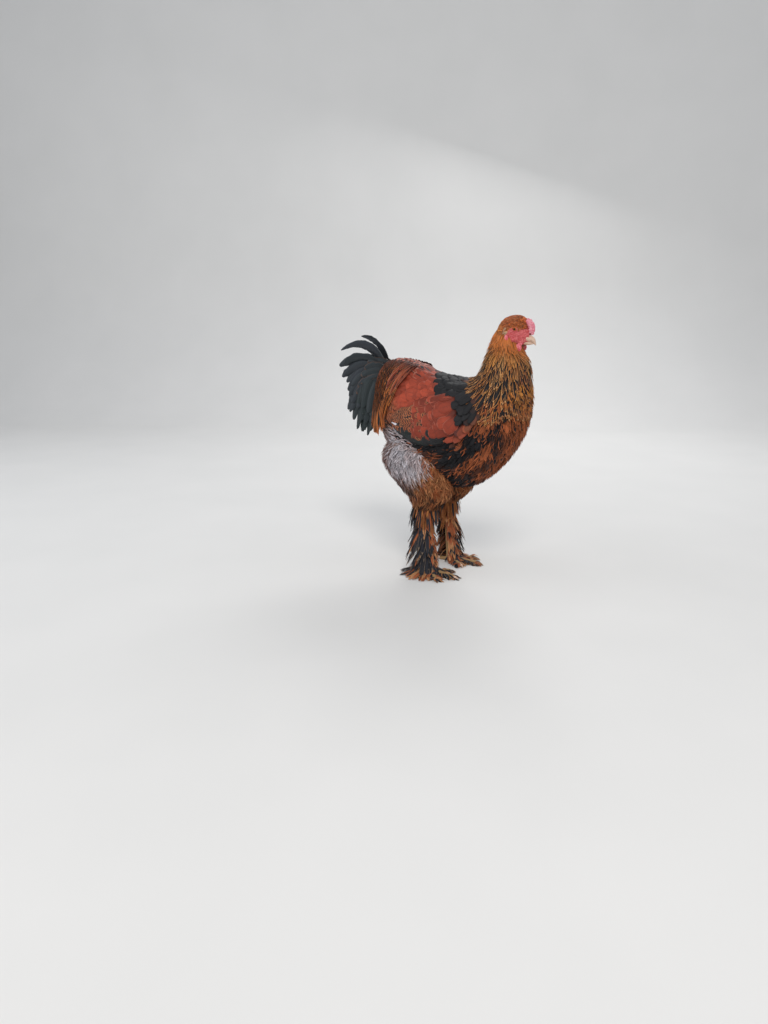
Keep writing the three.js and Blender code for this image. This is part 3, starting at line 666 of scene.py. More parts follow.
skin = merged("skin", [body, head, legs])
skin.data.shade_smooth()
place = points_of(skin)
colour_points(skin, "marks", skin_colours(place))
colour_points(skin, "bare", tint((1, 1, 1), len(place)) * bare_skin(place)[:, None])
paint = Paint("skin", Subsurface_Weight=0.0, Specular_IOR_Level=0.4)
bare = paint.colours("bare", "Fac")
at = paint.place()
mottle = paint.noise(at, 260, 3)
pores = paint.noise(at, 1400, 2)
colour = paint.mix(mottle.step(0.35, 0.7) * bare * 0.75, paint.colours("marks"), (0.74, 0.2, 0.2))
colour = paint.mix(pores.step(0.5, 0.75) * bare * 0.35, colour, (0.32, 0.02, 0.025))
paint.feed(
    Base_Color=colour,
    Roughness=0.85 - bare * 0.4 + mottle * 0.08,
    Normal=paint.bump(pores * 0.6 + mottle, 0.6 * MM, 0.6),
)
skin.data.materials.append(paint.material)
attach(skin, "root")
FLESH = ["torso", "neck", "rump", "head"]
for side, _ in SIDES:
    FLESH += [f"thigh_{side}", f"wing_{side}", f"shank_{side}", f"foot_{side}"]
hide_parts(*FLESH)


# Feathers. Each is a thin closed vane with a cupped face, laid along a surface from its root. A coat gathers
# many of them into one mesh, with their colours, a map over each vane and the map of their roots for baking.
# A form gives a vane's stations, as shares of its length, and its width there. A patch is PATCH across.
HACKLE_FORM = [(0, 0.3), (0.16, 0.66), (0.4, 0.95), (0.62, 1), (0.8, 0.78), (0.93, 0.4), (1, 0.08)]
BODY_FORM = [(0, 0.35), (0.3, 0.8), (0.58, 1), (0.8, 0.86), (0.93, 0.5), (1, 0.12)]
ROUND_FORM = [(0, 0.35), (0.25, 0.78), (0.5, 1), (0.74, 1), (0.88, 0.88), (0.95, 0.66), (0.985, 0.38)]
ROUND_FORM += [(1, 0.12)]
FLIGHT_FORM = [(0, 0.3), (0.12, 0.8), (0.35, 1), (0.6, 1), (0.8, 0.95), (0.92, 0.78), (0.975, 0.45)]
FLIGHT_FORM += [(1, 0.12)]
TUFT_FORM = [(0, 0.5), (0.35, 1), (0.75, 0.7), (1, 0.08)]
PATCH = 0.003


def lay(surface, s, r, length, form, root=0.0, tip=0.0, swerve=0.0, bend=0.0, steps=14):
    """Middle lines of feathers that start at s, r and follow the surface the way s falls, turned by swerve.
    root and tip are their heights over the surface, and bend turns them further on the way."""
    s, r = np.array(s, float), np.array(r, float)
    turn = np.broadcast_to(swerve, s.shape)
    path = [(s.copy(), r.copy())]
    for i in range(steps):
        along, round_it, _ = tangents(surface, s, r)
        heading = turn + bend * i / steps
        s = s - np.cos(heading) * length / steps / np.linalg.norm(along, axis=-1)
        r = r + np.sin(heading) * length / steps / np.linalg.norm(round_it, axis=-1)
        s = np.clip(s, 0.002, 0.998)
        path.append((s.copy(), r.copy()))
    path = np.array(path)
    t = np.array([station[0] for station in form])
    i = np.minimum((t * steps).astype(int), steps - 1)
    w = (t * steps - i)[:, None, None]
    at = path[i] * (1 - w) + path[i + 1] * w
    s, r = at[:, 0].T, at[:, 1].T
    lift = np.asarray(root)[..., None] + (np.asarray(tip) - np.asarray(root))[..., None] * t**0.75
    _, _, out = tangents(surface, s, r)
    return surface(s, r) + out * np.broadcast_to(lift, s.shape)[..., None], out


def squared(spine, out, roll=0.0):
    """The ways across and out of each vane, square to its middle line."""
    ahead = unit(np.gradient(spine, axis=1))
    across = unit(np.cross(ahead, out))
    out = np.cross(across, ahead)
    c, w = (np.broadcast_to(f(roll), len(spine))[:, None, None] for f in (np.cos, np.sin))
    return across * c + out * w, out * c - across * w


def unwrapped(s, r):
    return np.stack([r, s], -1)


class Draws:
    """Random numbers for a group of feathers, alike in each run."""

    def __init__(self, seed, count=None):
        self.source, self.count = np.random.default_rng(seed), count

    def __call__(self, low=0.0, high=1.0):
        return self.source.uniform(low, high, self.count)

    def shade(self, low, high):
        return self(low, high)[:, None]

    def about(self, mean, spread):
        return self.source.normal(mean, spread, self.count)

    def turn(self, spread):
        """Angles of either sign, with their spread in degrees."""
        return np.radians(self.about(0, spread))


class Coat:
    """A coat piece under construction."""

    def __init__(self, name):
        self.name, self.count = name, 0
        self.points, self.faces, self.maps, self.roots, self.patches = [], [], [], [], []
        self.colours = {"ground": [], "mark": [], "rim": [], "plan": []}

    def add(self, spine, out, half, form, place, ground, rim, plan, mark=BLACK, ribs=3, cup=0.22,
            thick=0.35 * MM, roll=0.0, seed=0):
        """Adds vanes. half is their greatest half width, place the root on the unwrapped surface, and plan
        the width of the middle stripe, the width of the rim, the strength of bars and the gloss."""
        count, stations = spine.shape[:2]
        draw = np.random.default_rng(seed)
        across, out = squared(spine, out, roll)
        t, wide = np.array(form).T
        half = np.broadcast_to(half, count)[:, None] * wide
        half = (half * (1 + 0.09 * draw.normal(size=half.shape) * (t > 0.3)))[..., None, None]
        x = np.linspace(-1, 1, ribs)[:, None]
        face = spine[:, :, None] + across[:, :, None] * half * x
        top = face - out[:, :, None] * half * cup * x**2
        bottom = top - out[:, :, None] * (thick * blend(1, 0.5, t)[None, :, None, None])
        ring = np.concatenate([top, bottom[:, :, ::-1]], 2)
        sides = 2 * ribs
        _, (walls, *caps) = tube_of(ring[0])
        base = (self.count + np.arange(count) * stations * sides)[:, None, None]
        edges = np.tile(np.arange(sides) % ribs == ribs - 1, (stations - 1) * count)
        self.faces.append(((walls + base).reshape(-1, 4), edges))
        for cap in caps:
            self.faces.append(((cap + base).reshape(-1, sides), np.ones(count, bool)))
        self.points.append(ring.reshape(-1, 3))
        u = np.concatenate([x, x[::-1]])[:, 0] / 2 + 0.5
        u, t = (np.broadcast_to(v, ring.shape[:3]) for v in (u, t[:, None]))
        self.maps.append(np.stack([u, t], -1).reshape(-1, 2))
        # In its patch the underside lies a little in and down from the top, so no edge wall is flat there.
        under = np.repeat([0.0, 1.0], ribs)
        patch = np.stack([(u - 0.5) * (1 - 0.14 * under), t - 0.45 - 0.1 * under], -1)
        self.patches.append(patch.reshape(-1, 2))
        self.roots.append(np.repeat(place, stations * sides, 0))
        seeds = draw.uniform(0, 1, (count, 1))
        for name, value in (("ground", ground), ("mark", mark), ("rim", rim)):
            value = np.hstack([np.broadcast_to(value, (count, 3)), seeds])
            self.colours[name].append(np.repeat(value, stations * sides, 0))
        plan = np.stack([np.broadcast_to(part, count) for part in plan], -1)
        self.colours["plan"].append(np.repeat(plan, stations * sides, 0))
        self.count += count * stations * sides

    def grow(self, surface, s, r, length, half, form, root, tip, swerve, bend=0.0, place=None, **looks):
        """Adds vanes that lie along a surface."""
        spine, out = lay(surface, s, r, length, form, root, tip, swerve, bend)
        self.add(spine, out, half, form, unwrapped(s, r) if place is None else place, **looks)

    def made(self, material, slot, *nodes):
        points, roots = np.vstack(self.points), np.vstack(self.roots)
        points[:, 2] = np.maximum(points[:, 2], 0.4 * MM)
        flat = np.concatenate([f for _, f in self.faces])
        piece = new_mesh(self.name, points, [f for f, _ in self.faces], flat)
        me = piece.data
        corner = np.zeros(len(me.loops), np.int32)
        me.loops.foreach_get("vertex_index", corner)
        low, high = roots.min(0), roots.max(0)
        roots = 0.02 + 0.96 * (roots - low) / np.maximum(high - low, 1e-9)
        baking = roots + PATCH * np.vstack(self.patches)
        for name, values in (("OFBake", baking), ("vane", np.vstack(self.maps))):
            layer = me.uv_layers.new(name=name, do_init=False)
            layer.uv.foreach_set("vector", values[corner].astype(np.float32).ravel())
        for name, values in self.colours.items():
            colour_points(piece, name, np.vstack(values))
        me.materials.append(material)
        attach(piece, "root")
        if nodes:
            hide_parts(*nodes)


def scatter(surface, s_range, r_range, spacing, seed, keep=None, tries=60000):
    """Even but irregular places on a surface, about spacing apart, which may be a function of s and r."""
    draw = np.random.default_rng(seed)
    s, r = draw.uniform(*s_range, tries), draw.uniform(*r_range, tries)
    along, round_it, _ = tangents(surface, s, r)
    gap = spacing(s, r) if callable(spacing) else np.full(tries, spacing)
    chance = np.linalg.norm(np.cross(along, round_it), axis=-1) / gap**2
    stay = draw.uniform(0, np.percentile(chance, 99), tries) < chance
    if keep is not None:
        stay &= keep(s, r)
    s, r, gap = s[stay], r[stay], gap[stay]
    at = surface(s, r)
    chosen, cells = [], {}
    for i, (x, y, z) in enumerate(np.floor(at / gap.max()).astype(int)):
        block = [(x + i, y + j, z + k) for i in (-1, 0, 1) for j in (-1, 0, 1) for k in (-1, 0, 1)]
        around = [other for cell in block for other in cells.get(cell, ())]
        if not around or ((at[around] - at[i]) ** 2).sum(1).min() >= gap[i] * gap[i]:
            cells.setdefault((x, y, z), []).append(i)
            chosen.append(i)
    return s[chosen], r[chosen]


def feather_paint(name, bars=7.0, barbs=42.0, **finish):
    """Vanes with a middle stripe, a rim and cross bars, barb lines and a shaft, darkened towards the root by
    their grey down and by painted shadow.
    """
    paint = Paint(name, **finish)
    vane = paint.node("ShaderNodeUVMap", {"uv_map": "vane"})
    across, along, _ = paint.split("ShaderNodeSeparateXYZ", vane)
    side = abs(across * 2 - 1)
    ground, mark, rim = (paint.colours(k) for k in ("ground", "mark", "rim"))
    seed, gloss = paint.colours("ground", "Alpha"), paint.colours("plan", "Alpha")
    stripe, edge, cross = paint.split("ShaderNodeSeparateColor", paint.colours("plan"))
    lean = along - side * 0.16
    combed = paint.packed("ShaderNodeCombineXYZ", across * 2.5, lean * barbs, seed * 91)
    streak = paint.noise(combed, 1.0, 2)
    blotch = paint.noise(paint.packed("ShaderNodeCombineXYZ", across * 2, along * 3, seed * 57), 1.2, 2)
    wobble = (blotch - 0.5) * 0.35
    taper = ((1.05 - along) * 3.6).low(1)
    striped = (stripe * taper - side + wobble * stripe * 2).step(-0.06, 0.06)
    near_edge = (1 - side).low((1 - along) * 2.4)
    rimmed = (edge - near_edge + wobble * edge).step(-0.03, 0.05)
    wave = ((along * bars + side * side * 1.4 + wobble * 1.2) * 6.283).wave()
    colour = paint.mix(wave.step(-0.15, 0.35) * cross, ground, mark)
    colour = paint.mix(striped, colour, mark)
    colour = paint.mix(rimmed, colour, rim)
    clouds = paint.noise(paint.place(), 34, 2)
    # The barb streaks, blotches and clouds vary the tone. The second factor darkens each vane towards its
    # root: partly its own grey down, partly painted shadow from the feathers that lie over it.
    shade = (0.3 + streak * 0.62 + blotch * 0.38 + clouds * 0.4) * (0.42 + along.step(0.05, 0.55) * 0.58)
    colour = paint.mix(1.0, colour, paint.packed("ShaderNodeCombineColor", shade, shade, shade), "MULTIPLY")
    shaft = (0.035 - side).step(-0.01, 0.02) * (1 - along.step(0.7, 0.95))
    colour = paint.mix(shaft * 0.4, colour, (0.05, 0.03, 0.02))
    height = paint.noise(combed, 3.0, 1) * 0.5 + shaft + streak * 0.6
    roughness = (0.84 - gloss * 0.42) + (streak - 0.5) * 0.22
    return paint.feed(Base_Color=colour, Roughness=roughness, Normal=paint.bump(height, 0.35 * MM, 0.55))


plumage = feather_paint("plumage", Specular_IOR_Level=0.22)
glossy = feather_paint("glossy_plumage", barbs=70.0, Specular_IOR_Level=0.35)
steely = (0.86, 0.93, 0.96, 1)
tail_plumage = feather_paint("tail_plumage", barbs=80.0, Specular_IOR_Level=0.5, Specular_Tint=steely)
downy = feather_paint("down", barbs=12.0, Specular_IOR_Level=0.12)

# The hackle: narrow pointed feathers from the nape down to a cape over the shoulders. Gold above, and lower
# down black in the middle with a gold rim.
CAPE = {"back": 8.4, "breast": 10.7}
ALL_ROUND = (-math.pi, math.pi)


def cape_edge(r):
    return blend(CAPE["back"], CAPE["breast"], smooth(degrees_round(r), 60, 150))


def hackle_reach(s, r):
    """0 at the nape and 1 at the cape's edge."""
    return np.clip((14.6 - s * LAST) / (14.6 - cape_edge(r)), 0, 1.2)


def hackle_gap(s, r):
    return blend(3.1, 6.2, smooth(hackle_reach(s, r), 0, 0.6)) * MM


def to_cape(s, r):
    """How far a root lies ahead of the cape's edge."""
    gap = np.linalg.norm(trunk(s, r) - trunk(cape_edge(r) / LAST, r), axis=-1)
    return gap * np.sign(s * LAST - cape_edge(r))


def trunk_root(s, r):
    """The height of a feather's root, just inside the skin."""
    return -trunk_depth(s, r) - 1 * MM


s, r = scatter(trunk, (0.55, 0.985), ALL_ROUND, hackle_gap, 11, lambda s, r: to_cape(s, r) > 18 * MM)
vary = Draws(101, len(s))
reach = hackle_reach(s, r)
length = blend(28, 88, np.clip(reach * 1.4, 0, 1)) * MM * vary(0.86, 1.12)
length = np.minimum(length, to_cape(s, r) + vary(4, 20) * MM)
half = blend(1.9, 5.3, smooth(reach, 0, 0.7)) * MM * vary(0.85, 1.15)
tip, swerve, bend = vary(0, 2.2) * MM, vary.turn(4), vary.turn(5)
points = trunk(s, r)
front = smooth(degrees_round(r), 100, 150)
low = smooth(reach + 0.2 * (ripple(points, 24 * MM, 33) - 0.5), 0.1, 0.3)
gold = layered(
    GOLD,
    (PALE_GOLD, 0.5 * vary() * ripple(points, 30 * MM, 31)),
    (ORANGE, 0.75 * (1 - smooth(reach, 0.02, 0.2))),
    (RUST, np.clip(low * (0.35 + 0.4 * front) + 0.3 * vary(-1, 1), 0, 1)),
)
dark = low * (1 - 0.45 * front * smooth(reach, 0.5, 0.8))
stripe = blend(0.3, 0.93, dark) * vary(0.75, 1.1) * smooth(reach, 0.0, 0.08)
plan = (stripe, vary(0.03, 0.16), 0, 0.25 + 0.35 * dark)
rim = mixed(gold, PALE_GOLD, vary(0, 0.8))
hackle = Coat("hackle")
hackle.grow(trunk, s, r, length, half, HACKLE_FORM, trunk_root(s, r), tip, swerve, bend,
            ground=gold * vary.shade(0.7, 1.15), rim=rim, plan=plan, roll=vary.turn(5), seed=12)
hackle.made(plumage, "neck_plumage")

# Back: broad smooth feathers. A black mantle lies behind the cape, brick red behind it, barred brown by the
# saddle, and pale edged red along the ridge. The mantle's rear feathers lie over the fronts of the wings.
SIDE_EDGE = 88


def back_keep(s, r):
    k, side = s * LAST, degrees_round(r)
    return (k < cape_edge(r) + 1.6) & (side < SIDE_EDGE) & (k > 0.4 + 2.2 * smooth(side, 18, 46))


s, r = scatter(trunk, (0.05, 0.8), (-math.pi / 2, math.pi / 2), 9.2 * MM, 20, back_keep)
vary = Draws(201, len(s))
k, side = s * LAST, degrees_round(r)
length = blend(34, 46, smooth(k, 2, 5)) * MM * vary(0.85, 1.15)
half = blend(8, 12.5, smooth(k, 2.5, 5)) * MM * vary(0.85, 1.12)
narrow = smooth(k, 6.8, 8) * smooth(side, 40, 70)
half, length = half * blend(1, 0.62, narrow), length * blend(1, 0.85, narrow)
over_wing = smooth(k, 7.2, 7.9) * (1 - smooth(k, 9.4, 10)) * smooth(side, 22, 34)
ridge = (1 - smooth(side, 20, 36)) * (1 - smooth(k, 4.9, 5.6))
tip = (vary(-0.5, 1.5) + 8 * over_wing + 4 * ridge + 2.5 * (1 - smooth(k, 4.4, 5.4))) * MM
droop = np.sign(np.sin(r)) * np.radians(20) * smooth(side, 20, 60)
swerve = droop + vary.turn(5)
ground = trunk_ground(s, r)
black = smooth(ground.sum(1), 0.2, 0.08)
ground = mixed(ground, RED, 0.6 * ridge) * vary.shade(0.75, 1.2)
rim = layered(ground, (PINK_EDGE, blend(0.08, 0.75, ridge)), (BLACK, black))
stripe, edge = 0.3 * ridge * vary(0, 1.5), blend(0.1, 0.2, ridge) * vary(0.4, 1.3)
plan = (stripe, edge, 0.85 * pencilled(s, r), 0.4 - 0.1 * black)
back_coat = Coat("back_coat")
back_coat.grow(trunk, s, r, length, half, ROUND_FORM, trunk_root(s, r), tip, swerve, ground=ground, rim=rim,
               plan=plan, ribs=5, cup=0.12, roll=vary.turn(4), seed=21)
back_coat.made(glossy, "body_plumage")


# Breast, flanks and belly: a layer of small rusty and black feathers, and over it loose barbs that fray
# their edges.
def breast_keep(s, r):
    k, side = s * LAST, degrees_round(r)
    return (k < cape_edge(r) + 1.3) & (side > SIDE_EDGE - 8) & ~((k < 5.2) & (side > 106)) & (k > 2.4)


def breast_droop(r):
    side = degrees_round(r)
    return np.sign(np.sin(r)) * np.radians(20) * smooth(side, 30, 80) * (1 - smooth(side, 130, 175))


s, r = scatter(trunk, (0.02, 0.86), ALL_ROUND, 8.0 * MM, 22, breast_keep)
vary = Draws(211, len(s))
length, half = vary(26, 36) * MM, vary(5.5, 8) * MM
tip, swerve = vary(-1.5, 2.5) * MM, breast_droop(r) + vary.turn(12)
ground = trunk_ground(s, r)
black = smooth(ground.sum(1), 0.25, 0.1)
flecked = (vary() < 0.5) * (1 - black)
stripe, edge, bars = 0.55 * flecked * vary(0.4, 1.3), 0.1 * vary() * (1 - black), 0.5 * (1 - black) * vary()
plan = (stripe, edge, bars, 0.2 + 0.3 * black)
ground = ground * vary.shade(0.6, 1.25)
breast_coat = Coat("breast_coat")
breast_coat.grow(trunk, s, r, length, half, BODY_FORM, trunk_root(s, r), tip, swerve, ground=ground,
                 rim=blend(ground, np.array(TAN), 0.3), plan=plan, roll=vary.turn(6), seed=23)
breast_coat.made(plumage, "body_plumage")
s, r = scatter(trunk, (0.02, 0.86), ALL_ROUND, 4.3 * MM, 24, breast_keep)
vary.count = len(s)
length, tip = vary(15, 30) * MM, vary(0.2, 4.2) * MM
swerve, bend = breast_droop(r) + vary.turn(17), vary.turn(25)
ground = trunk_ground(s, r)
black = smooth(ground.sum(1), 0.25, 0.1)
ground = np.where(vary.shade(0, 1) < 0.16, mixed(RUST, BLACK, 1.0 - black), ground) * vary.shade(0.5, 1.45)
plan = (0, 0.2 * vary(), 0, 0.1 + 0.2 * black)
barbs = Coat("breast_barbs")
barbs.grow(trunk, s, r, length, vary(0.9, 1.7) * MM, TUFT_FORM, -0.6 * trunk_depth(s, r), tip, swerve, bend,
           ground=ground, rim=mixed(ground, TAN, 0.25 * (1 - black)), plan=plan, ribs=2,
           roll=vary.turn(20), seed=25)
barbs.made(plumage, "body_plumage")


# The saddle: long pointed feathers that sweep from the ridge of the back down over the rump, orange with a
# black stripe, and redder with pale edges along the ridge.
def from_front(r, sign):
    """0 at the saddle's front edge and 1 at its rear, on either side."""
    return r if sign > 0 else 1 - r


saddle_coat = Coat("saddle")
for side_name, sign in SIDES:
    surface = saddle_of(sign)
    s, r = scatter(surface, (0.2, 0.93), (0.0, 1.0), 6.2 * MM, 31 + sign,
                   lambda s, r: 1 - s < blend(0.56, 0.8, smooth(from_front(r, sign), 0, 0.6)))
    vary = Draws(301 + sign, len(s))
    down = 1 - s
    length = blend(64, 88, vary()) * MM * vary(0.8, 1.15)
    half = vary(4.6, 7) * MM
    edge = 1 - smooth(from_front(r, sign), 0, 0.35)
    tip = (vary(-1, 2.5) - 6 * edge - 4 * (1 - smooth(down, 0.08, 0.36))) * MM
    swerve = vary.turn(5)
    ridge = 1 - smooth(down, 0.05, 0.28)
    ground = layered(
        mixed(ORANGE, GOLD, 0.55 * vary()) * 1.15,
        (RED, np.clip(0.9 * ridge + 0.45 * vary() ** 3, 0, 1)),
        (RED, 0.3 * smooth(from_front(r, sign), 0.55, 0.95)),
    )
    plan = (blend(0.72, 0.35, ridge) * vary(0.7, 1.15), blend(0.06, 0.2, ridge * vary()), 0, 0.6)
    rim = mixed(ground, PINK_EDGE, blend(0.2, 0.8, ridge))
    place = np.stack([r + (1.1 if sign > 0 else 0), s], -1)
    saddle_coat.grow(surface, s, r, length, half, HACKLE_FORM, -9 * MM, tip, swerve, place=place,
                     ground=ground, rim=rim, plan=plan, roll=vary.turn(8), seed=32 + sign)
saddle_coat.made(plumage, "body_plumage")

# The folded wings: smooth brick red bow feathers in front, brown barred ones behind, a glossy black bar, and
# the ends of the flight feathers below. Each row has its span down and across the wing, its columns and
# lines, and its feathers' length, half width and lift.
WING_ROWS = {
    "flights": ((0.5, 0.8), (0.62, 0.95), (5, 2), 112, 9, 1.0),
    "bar": ((0.16, 0.78), (0.72, 0.95), (8, 2), 58, 11, 2.0),
    "rear": ((0.32, 0.86), (0.08, 0.84), (7, 7), 44, 8.5, 2.5),
    "bow": ((0.0, 0.5), (0.0, 0.8), (6, 7), 50, 14.5, 3.2),
}
for side_name, sign in SIDES:
    wing = Coat(f"wing_coat_{side_name}")
    for name, (down_span, across_span, (columns, lines), long, wide, lift) in WING_ROWS.items():
        count = columns * lines
        vary = Draws(401 + 10 * sign + len(name), count)
        line, column = np.divmod(np.arange(count), columns)
        down = blend(*down_span, (column + 0.5 * (line % 2) + vary(-0.3, 0.3)) / columns)
        across = blend(*across_span, (line + 0.5 + vary(-0.25, 0.25)) / lines)
        down = np.clip(down, 0.005, 0.99)
        s, r = 1 - down, across if sign > 0 else 1 - across
        length, half = long * MM * vary(0.85, 1.12), wide * MM * vary(0.85, 1.12)
        tip, swerve = (lift + vary(-0.8, 0.8)) * MM, vary.turn(5)
        some = vary()
        if name == "bow":
            ground, mark = mixed(BRICK, RED, some), RED
            rim = blend(np.array(BRICK), np.array(PINK_EDGE), 0.3)
            plan = (0, vary(0.02, 0.12), 0.15 * some, 0.5)
        elif name == "rear":
            ground, mark, rim = mixed(RUST, TAN, 0.35 * some), BLACK, mixed(BROWN, PINK_EDGE, 0.3 * some)
            plan = (0.2 * some, 0.07, 0.95, 0.35)
        else:
            # The black rows mix some painted green sheen into their black ground and rims.
            ground, mark, rim = mixed(BLACK, BLACK_WITH_GREEN_SHEEN, some), BLACK, mixed(BLACK_BLUE, BLACK_WITH_GREEN_SHEEN, some)
            edge = np.full(count, 0.08)
            plan = (0, edge, 0, 0.9)
        if name == "bar":
            last = np.argmax(down + 0.4 * across)
            rim[last], edge[last] = WHITE, 0.45
        form = FLIGHT_FORM if name == "flights" else ROUND_FORM
        wing.grow(wing_of(sign), s, r, length, half, form, -WING_DEPTH, tip, swerve, mark=mark, rim=rim,
                  ground=ground * vary.shade(0.8, 1.2), plan=plan, ribs=5, cup=0.1, seed=41 + sign)
    wing.made(glossy, "body_plumage")

# The tail: curved sickles above, a fan of main feathers, lesser sickles and round coverts down its rear
# edge. Each feather bends in a plane of its own, past a peak to its tip, in millimetres of the side view. It
# is given by its side, root, peak, tip, distance from the middle plane, splay and half width.
SICKLES = [
    (-1, (-150, 486), (-205, 584), (-288, 535), 6, 8, 13),
    (1, (-150, 488), (-176, 572), (-244, 570), 6, 8, 9),
]
LESSER_TIPS = [(-284, 492), (-276, 470), (-268, 450), (-262, 436)]
LESSER_TIPS += [(-258, 422), (-252, 406), (-246, 393), (-238, 380)]
COVERT_TIPS = [(-230, 366), (-222, 356), (-214, 346), (-206, 338)]
COVERT_TIPS += [(-196, 330), (-188, 334), (-180, 334), (-170, 342)]


def tapered(count, start, point, fullness):
    """Stations of a long vane: it widens from its root and rounds off from the share point on."""
    t = 1 - (1 - np.linspace(0, 1, count)) ** 1.5
    past = np.clip((t - point) / (1 - point), 0, 0.985)
    return [(a, min(1, start + 2.2 * a) * (1 - b**fullness) ** (1 / fullness)) for a, b in zip(t, past)]


SICKLE_FORM = tapered(18, 0.4, 0.3, 1.7)
COVERT_FORM = tapered(15, 0.4, 0.7, 2.3)


def tail_lines(sign, root, peak, tip, layer, splay, form):
    t = np.array([station[0] for station in form])[None, :, None]
    a = np.stack([root[:, 0], sign * layer, root[:, 1]], -1)[:, None]
    b = np.stack([peak[:, 0], sign * (layer + 0.3 * splay), peak[:, 1]], -1)[:, None]
    c = np.stack([tip[:, 0], sign * (layer + splay), tip[:, 1]], -1)[:, None]
    at = a * (1 - t) ** 2 + 2 * b * t * (1 - t) + c * t * t
    out = np.zeros_like(at)
    out[..., 1] = sign[:, None]
    return ORIGIN + at * MM, out


tail = Coat("tail_coat")
vary = Draws(501)
groups = {"sickle": [*SICKLES], "fan": [], "lesser": [], "covert": [], "root": []}
for _, sign in SIDES:
    for i in range(8):
        heading = math.radians(blend(160, 232, i / 7))
        way = np.array([math.cos(heading), math.sin(heading)])
        root, peak, tip = (way * reach + [-150, 470] for reach in (8, 60, 108 + 5 * vary(-1, 1)))
        groups["fan"].append((sign, root, peak, tip, 8.5 - 0.7 * i, 5 + 0.5 * i, 12))
    for i, tip in enumerate(LESSER_TIPS):
        for twin in range(2):
            x, z = np.array(tip) + vary.source.uniform(-8, 8, 2) + twin * np.array([14, 6])
            root = (-156, 492 - 6 * i)
            peak = (blend(root[0], x, 0.6), max(root[1], z) + 38 - 2 * i - 4 * twin)
            groups["lesser"].append((sign, root, peak, (x, z), 8 + 1.3 * i + 2.2 * twin, 12 + 1.4 * i, 12))
    for i, tip in enumerate(COVERT_TIPS):
        for twin in range(3):
            x, z = np.array(tip) + vary.source.uniform(-9, 9, 2) + twin * np.array([15, 17])
            root = (-158, 474 - 8 * i)
            peak = (blend(root[0], x, 0.75), root[1] + 26 - 2 * i)
            layer = 20 + 2.4 * twin + 1.5 * math.sin(i)
            groups["covert"].append((sign, root, peak, (x, z), layer, 18 + 1.2 * i, 13.5))
    for i in range(22):
        row, level = divmod(i, 11)
        root = (-140 - 6 * row, 507 - 9 * level)
        tip = (-196 - 12 * vary() - 4 * level * (level < 6), 505 - 15 * level + vary(-6, 6))
        peak = (blend(root[0], tip[0], 0.6), root[1] + 9 - level)
        layer = 22 + 5 * math.sin(level / 10 * math.pi) + 3 * row - 14 * (level < 1)
        groups["root"].append((sign, root, peak, tip, layer, 4, 9))
# The share of painted green sheen in each tail group's black.
GREEN = {"sickle": 0.15, "fan": 0.1, "lesser": 0.35, "covert": 0.9, "root": 0.5}
for name, feathers in groups.items():
    vary.count = len(feathers)
    form = SICKLE_FORM if name == "sickle" else COVERT_FORM
    sign, root, peak, tip, layer, splay, half = (np.array(column, float) for column in zip(*feathers))
    spine, out = tail_lines(sign, root, peak, tip, layer, splay, form)
    half = half * MM * vary(0.85, 1.15)
    ground = mixed(BLACK_BLUE, BLACK_WITH_GREEN_SHEEN, np.clip(GREEN[name] + vary(-0.2, 0.2), 0, 1))
    rim = blend(ground, np.array(BROWN), 0.7 * (name == "root"))
    place = tip + [200, 0] * (sign > 0)[:, None]
    tail.add(spine, out, half, form, place, ground, rim, (0, 0.12, 0, vary(0.8, 1)), ribs=7, cup=0.2,
             thick=0.5 * MM, roll=vary.turn(9), seed=len(name))
tail.made(tail_plumage, "tail_plumage", "tail")

# Thighs and the fluff behind them: soft down in loose locks, grey white behind, brown and gold in front.
for side_name, sign in SIDES:
    surface = thigh_of(sign)
    s, r = scatter(surface, (0.03, 0.99), ALL_ROUND, 3.1 * MM, 61 + sign, tries=90000)
    vary = Draws(601 + sign, len(s))
    ground = down_ground(surface(s, r)) * vary.shade(0.5, 1.25)
    pale = smooth(ground.min(1), 0.1, 0.3)
    length = blend(20, 34, smooth(s, 0.1, 0.5)) * MM * vary(0.8, 1.2)
    half = vary(0.9, 2) * MM * blend(0.8, 1.2, smooth(s, 0.1, 0.5))
    tip, swerve, bend = vary(-3, 4) * MM * smooth(s, 0.05, 0.3), vary.turn(16), vary.turn(35)
    rim = mixed(ground, BROWN, 0.5 * (1 - pale) * vary())
    fluff = Coat(f"fluff_{side_name}")
    fluff.grow(surface, s, r, length, half, TUFT_FORM, -0.7 * thigh_depth(s), tip, swerve, bend, rim=rim,
               ground=ground, plan=(0, 0.3 * vary(), 0, 0.1), ribs=2, roll=vary.turn(25), seed=64 + sign)
    fluff.made(downy, "leg_plumage")

# Fluff under the tail and round the belly behind the legs.
s, r = scatter(trunk, (0.01, 0.42), ALL_ROUND, 3.3 * MM, 71,
               lambda s, r: degrees_round(r) > 100 + 24 * smooth(s * LAST, 5, 6))
vary = Draws(651, len(s))
ground = down_ground(trunk(s, r)) * vary.shade(0.65, 1.3)
length, half = vary(22, 36) * MM, vary(1, 2.2) * MM
tip, swerve, bend = vary(-1, 5) * MM, vary.turn(22), vary.turn(25)
fluff = Coat("fluff_rear")
fluff.grow(trunk, s, r, length, half, TUFT_FORM, -0.7 * trunk_depth(s, r), tip, swerve, bend,
           ground=ground, rim=blend(ground, np.array(BROWN), 0.3), plan=(0, 0.25, 0, 0.1), ribs=2,
           roll=vary.turn(25), seed=74)
fluff.made(downy, "body_plumage")


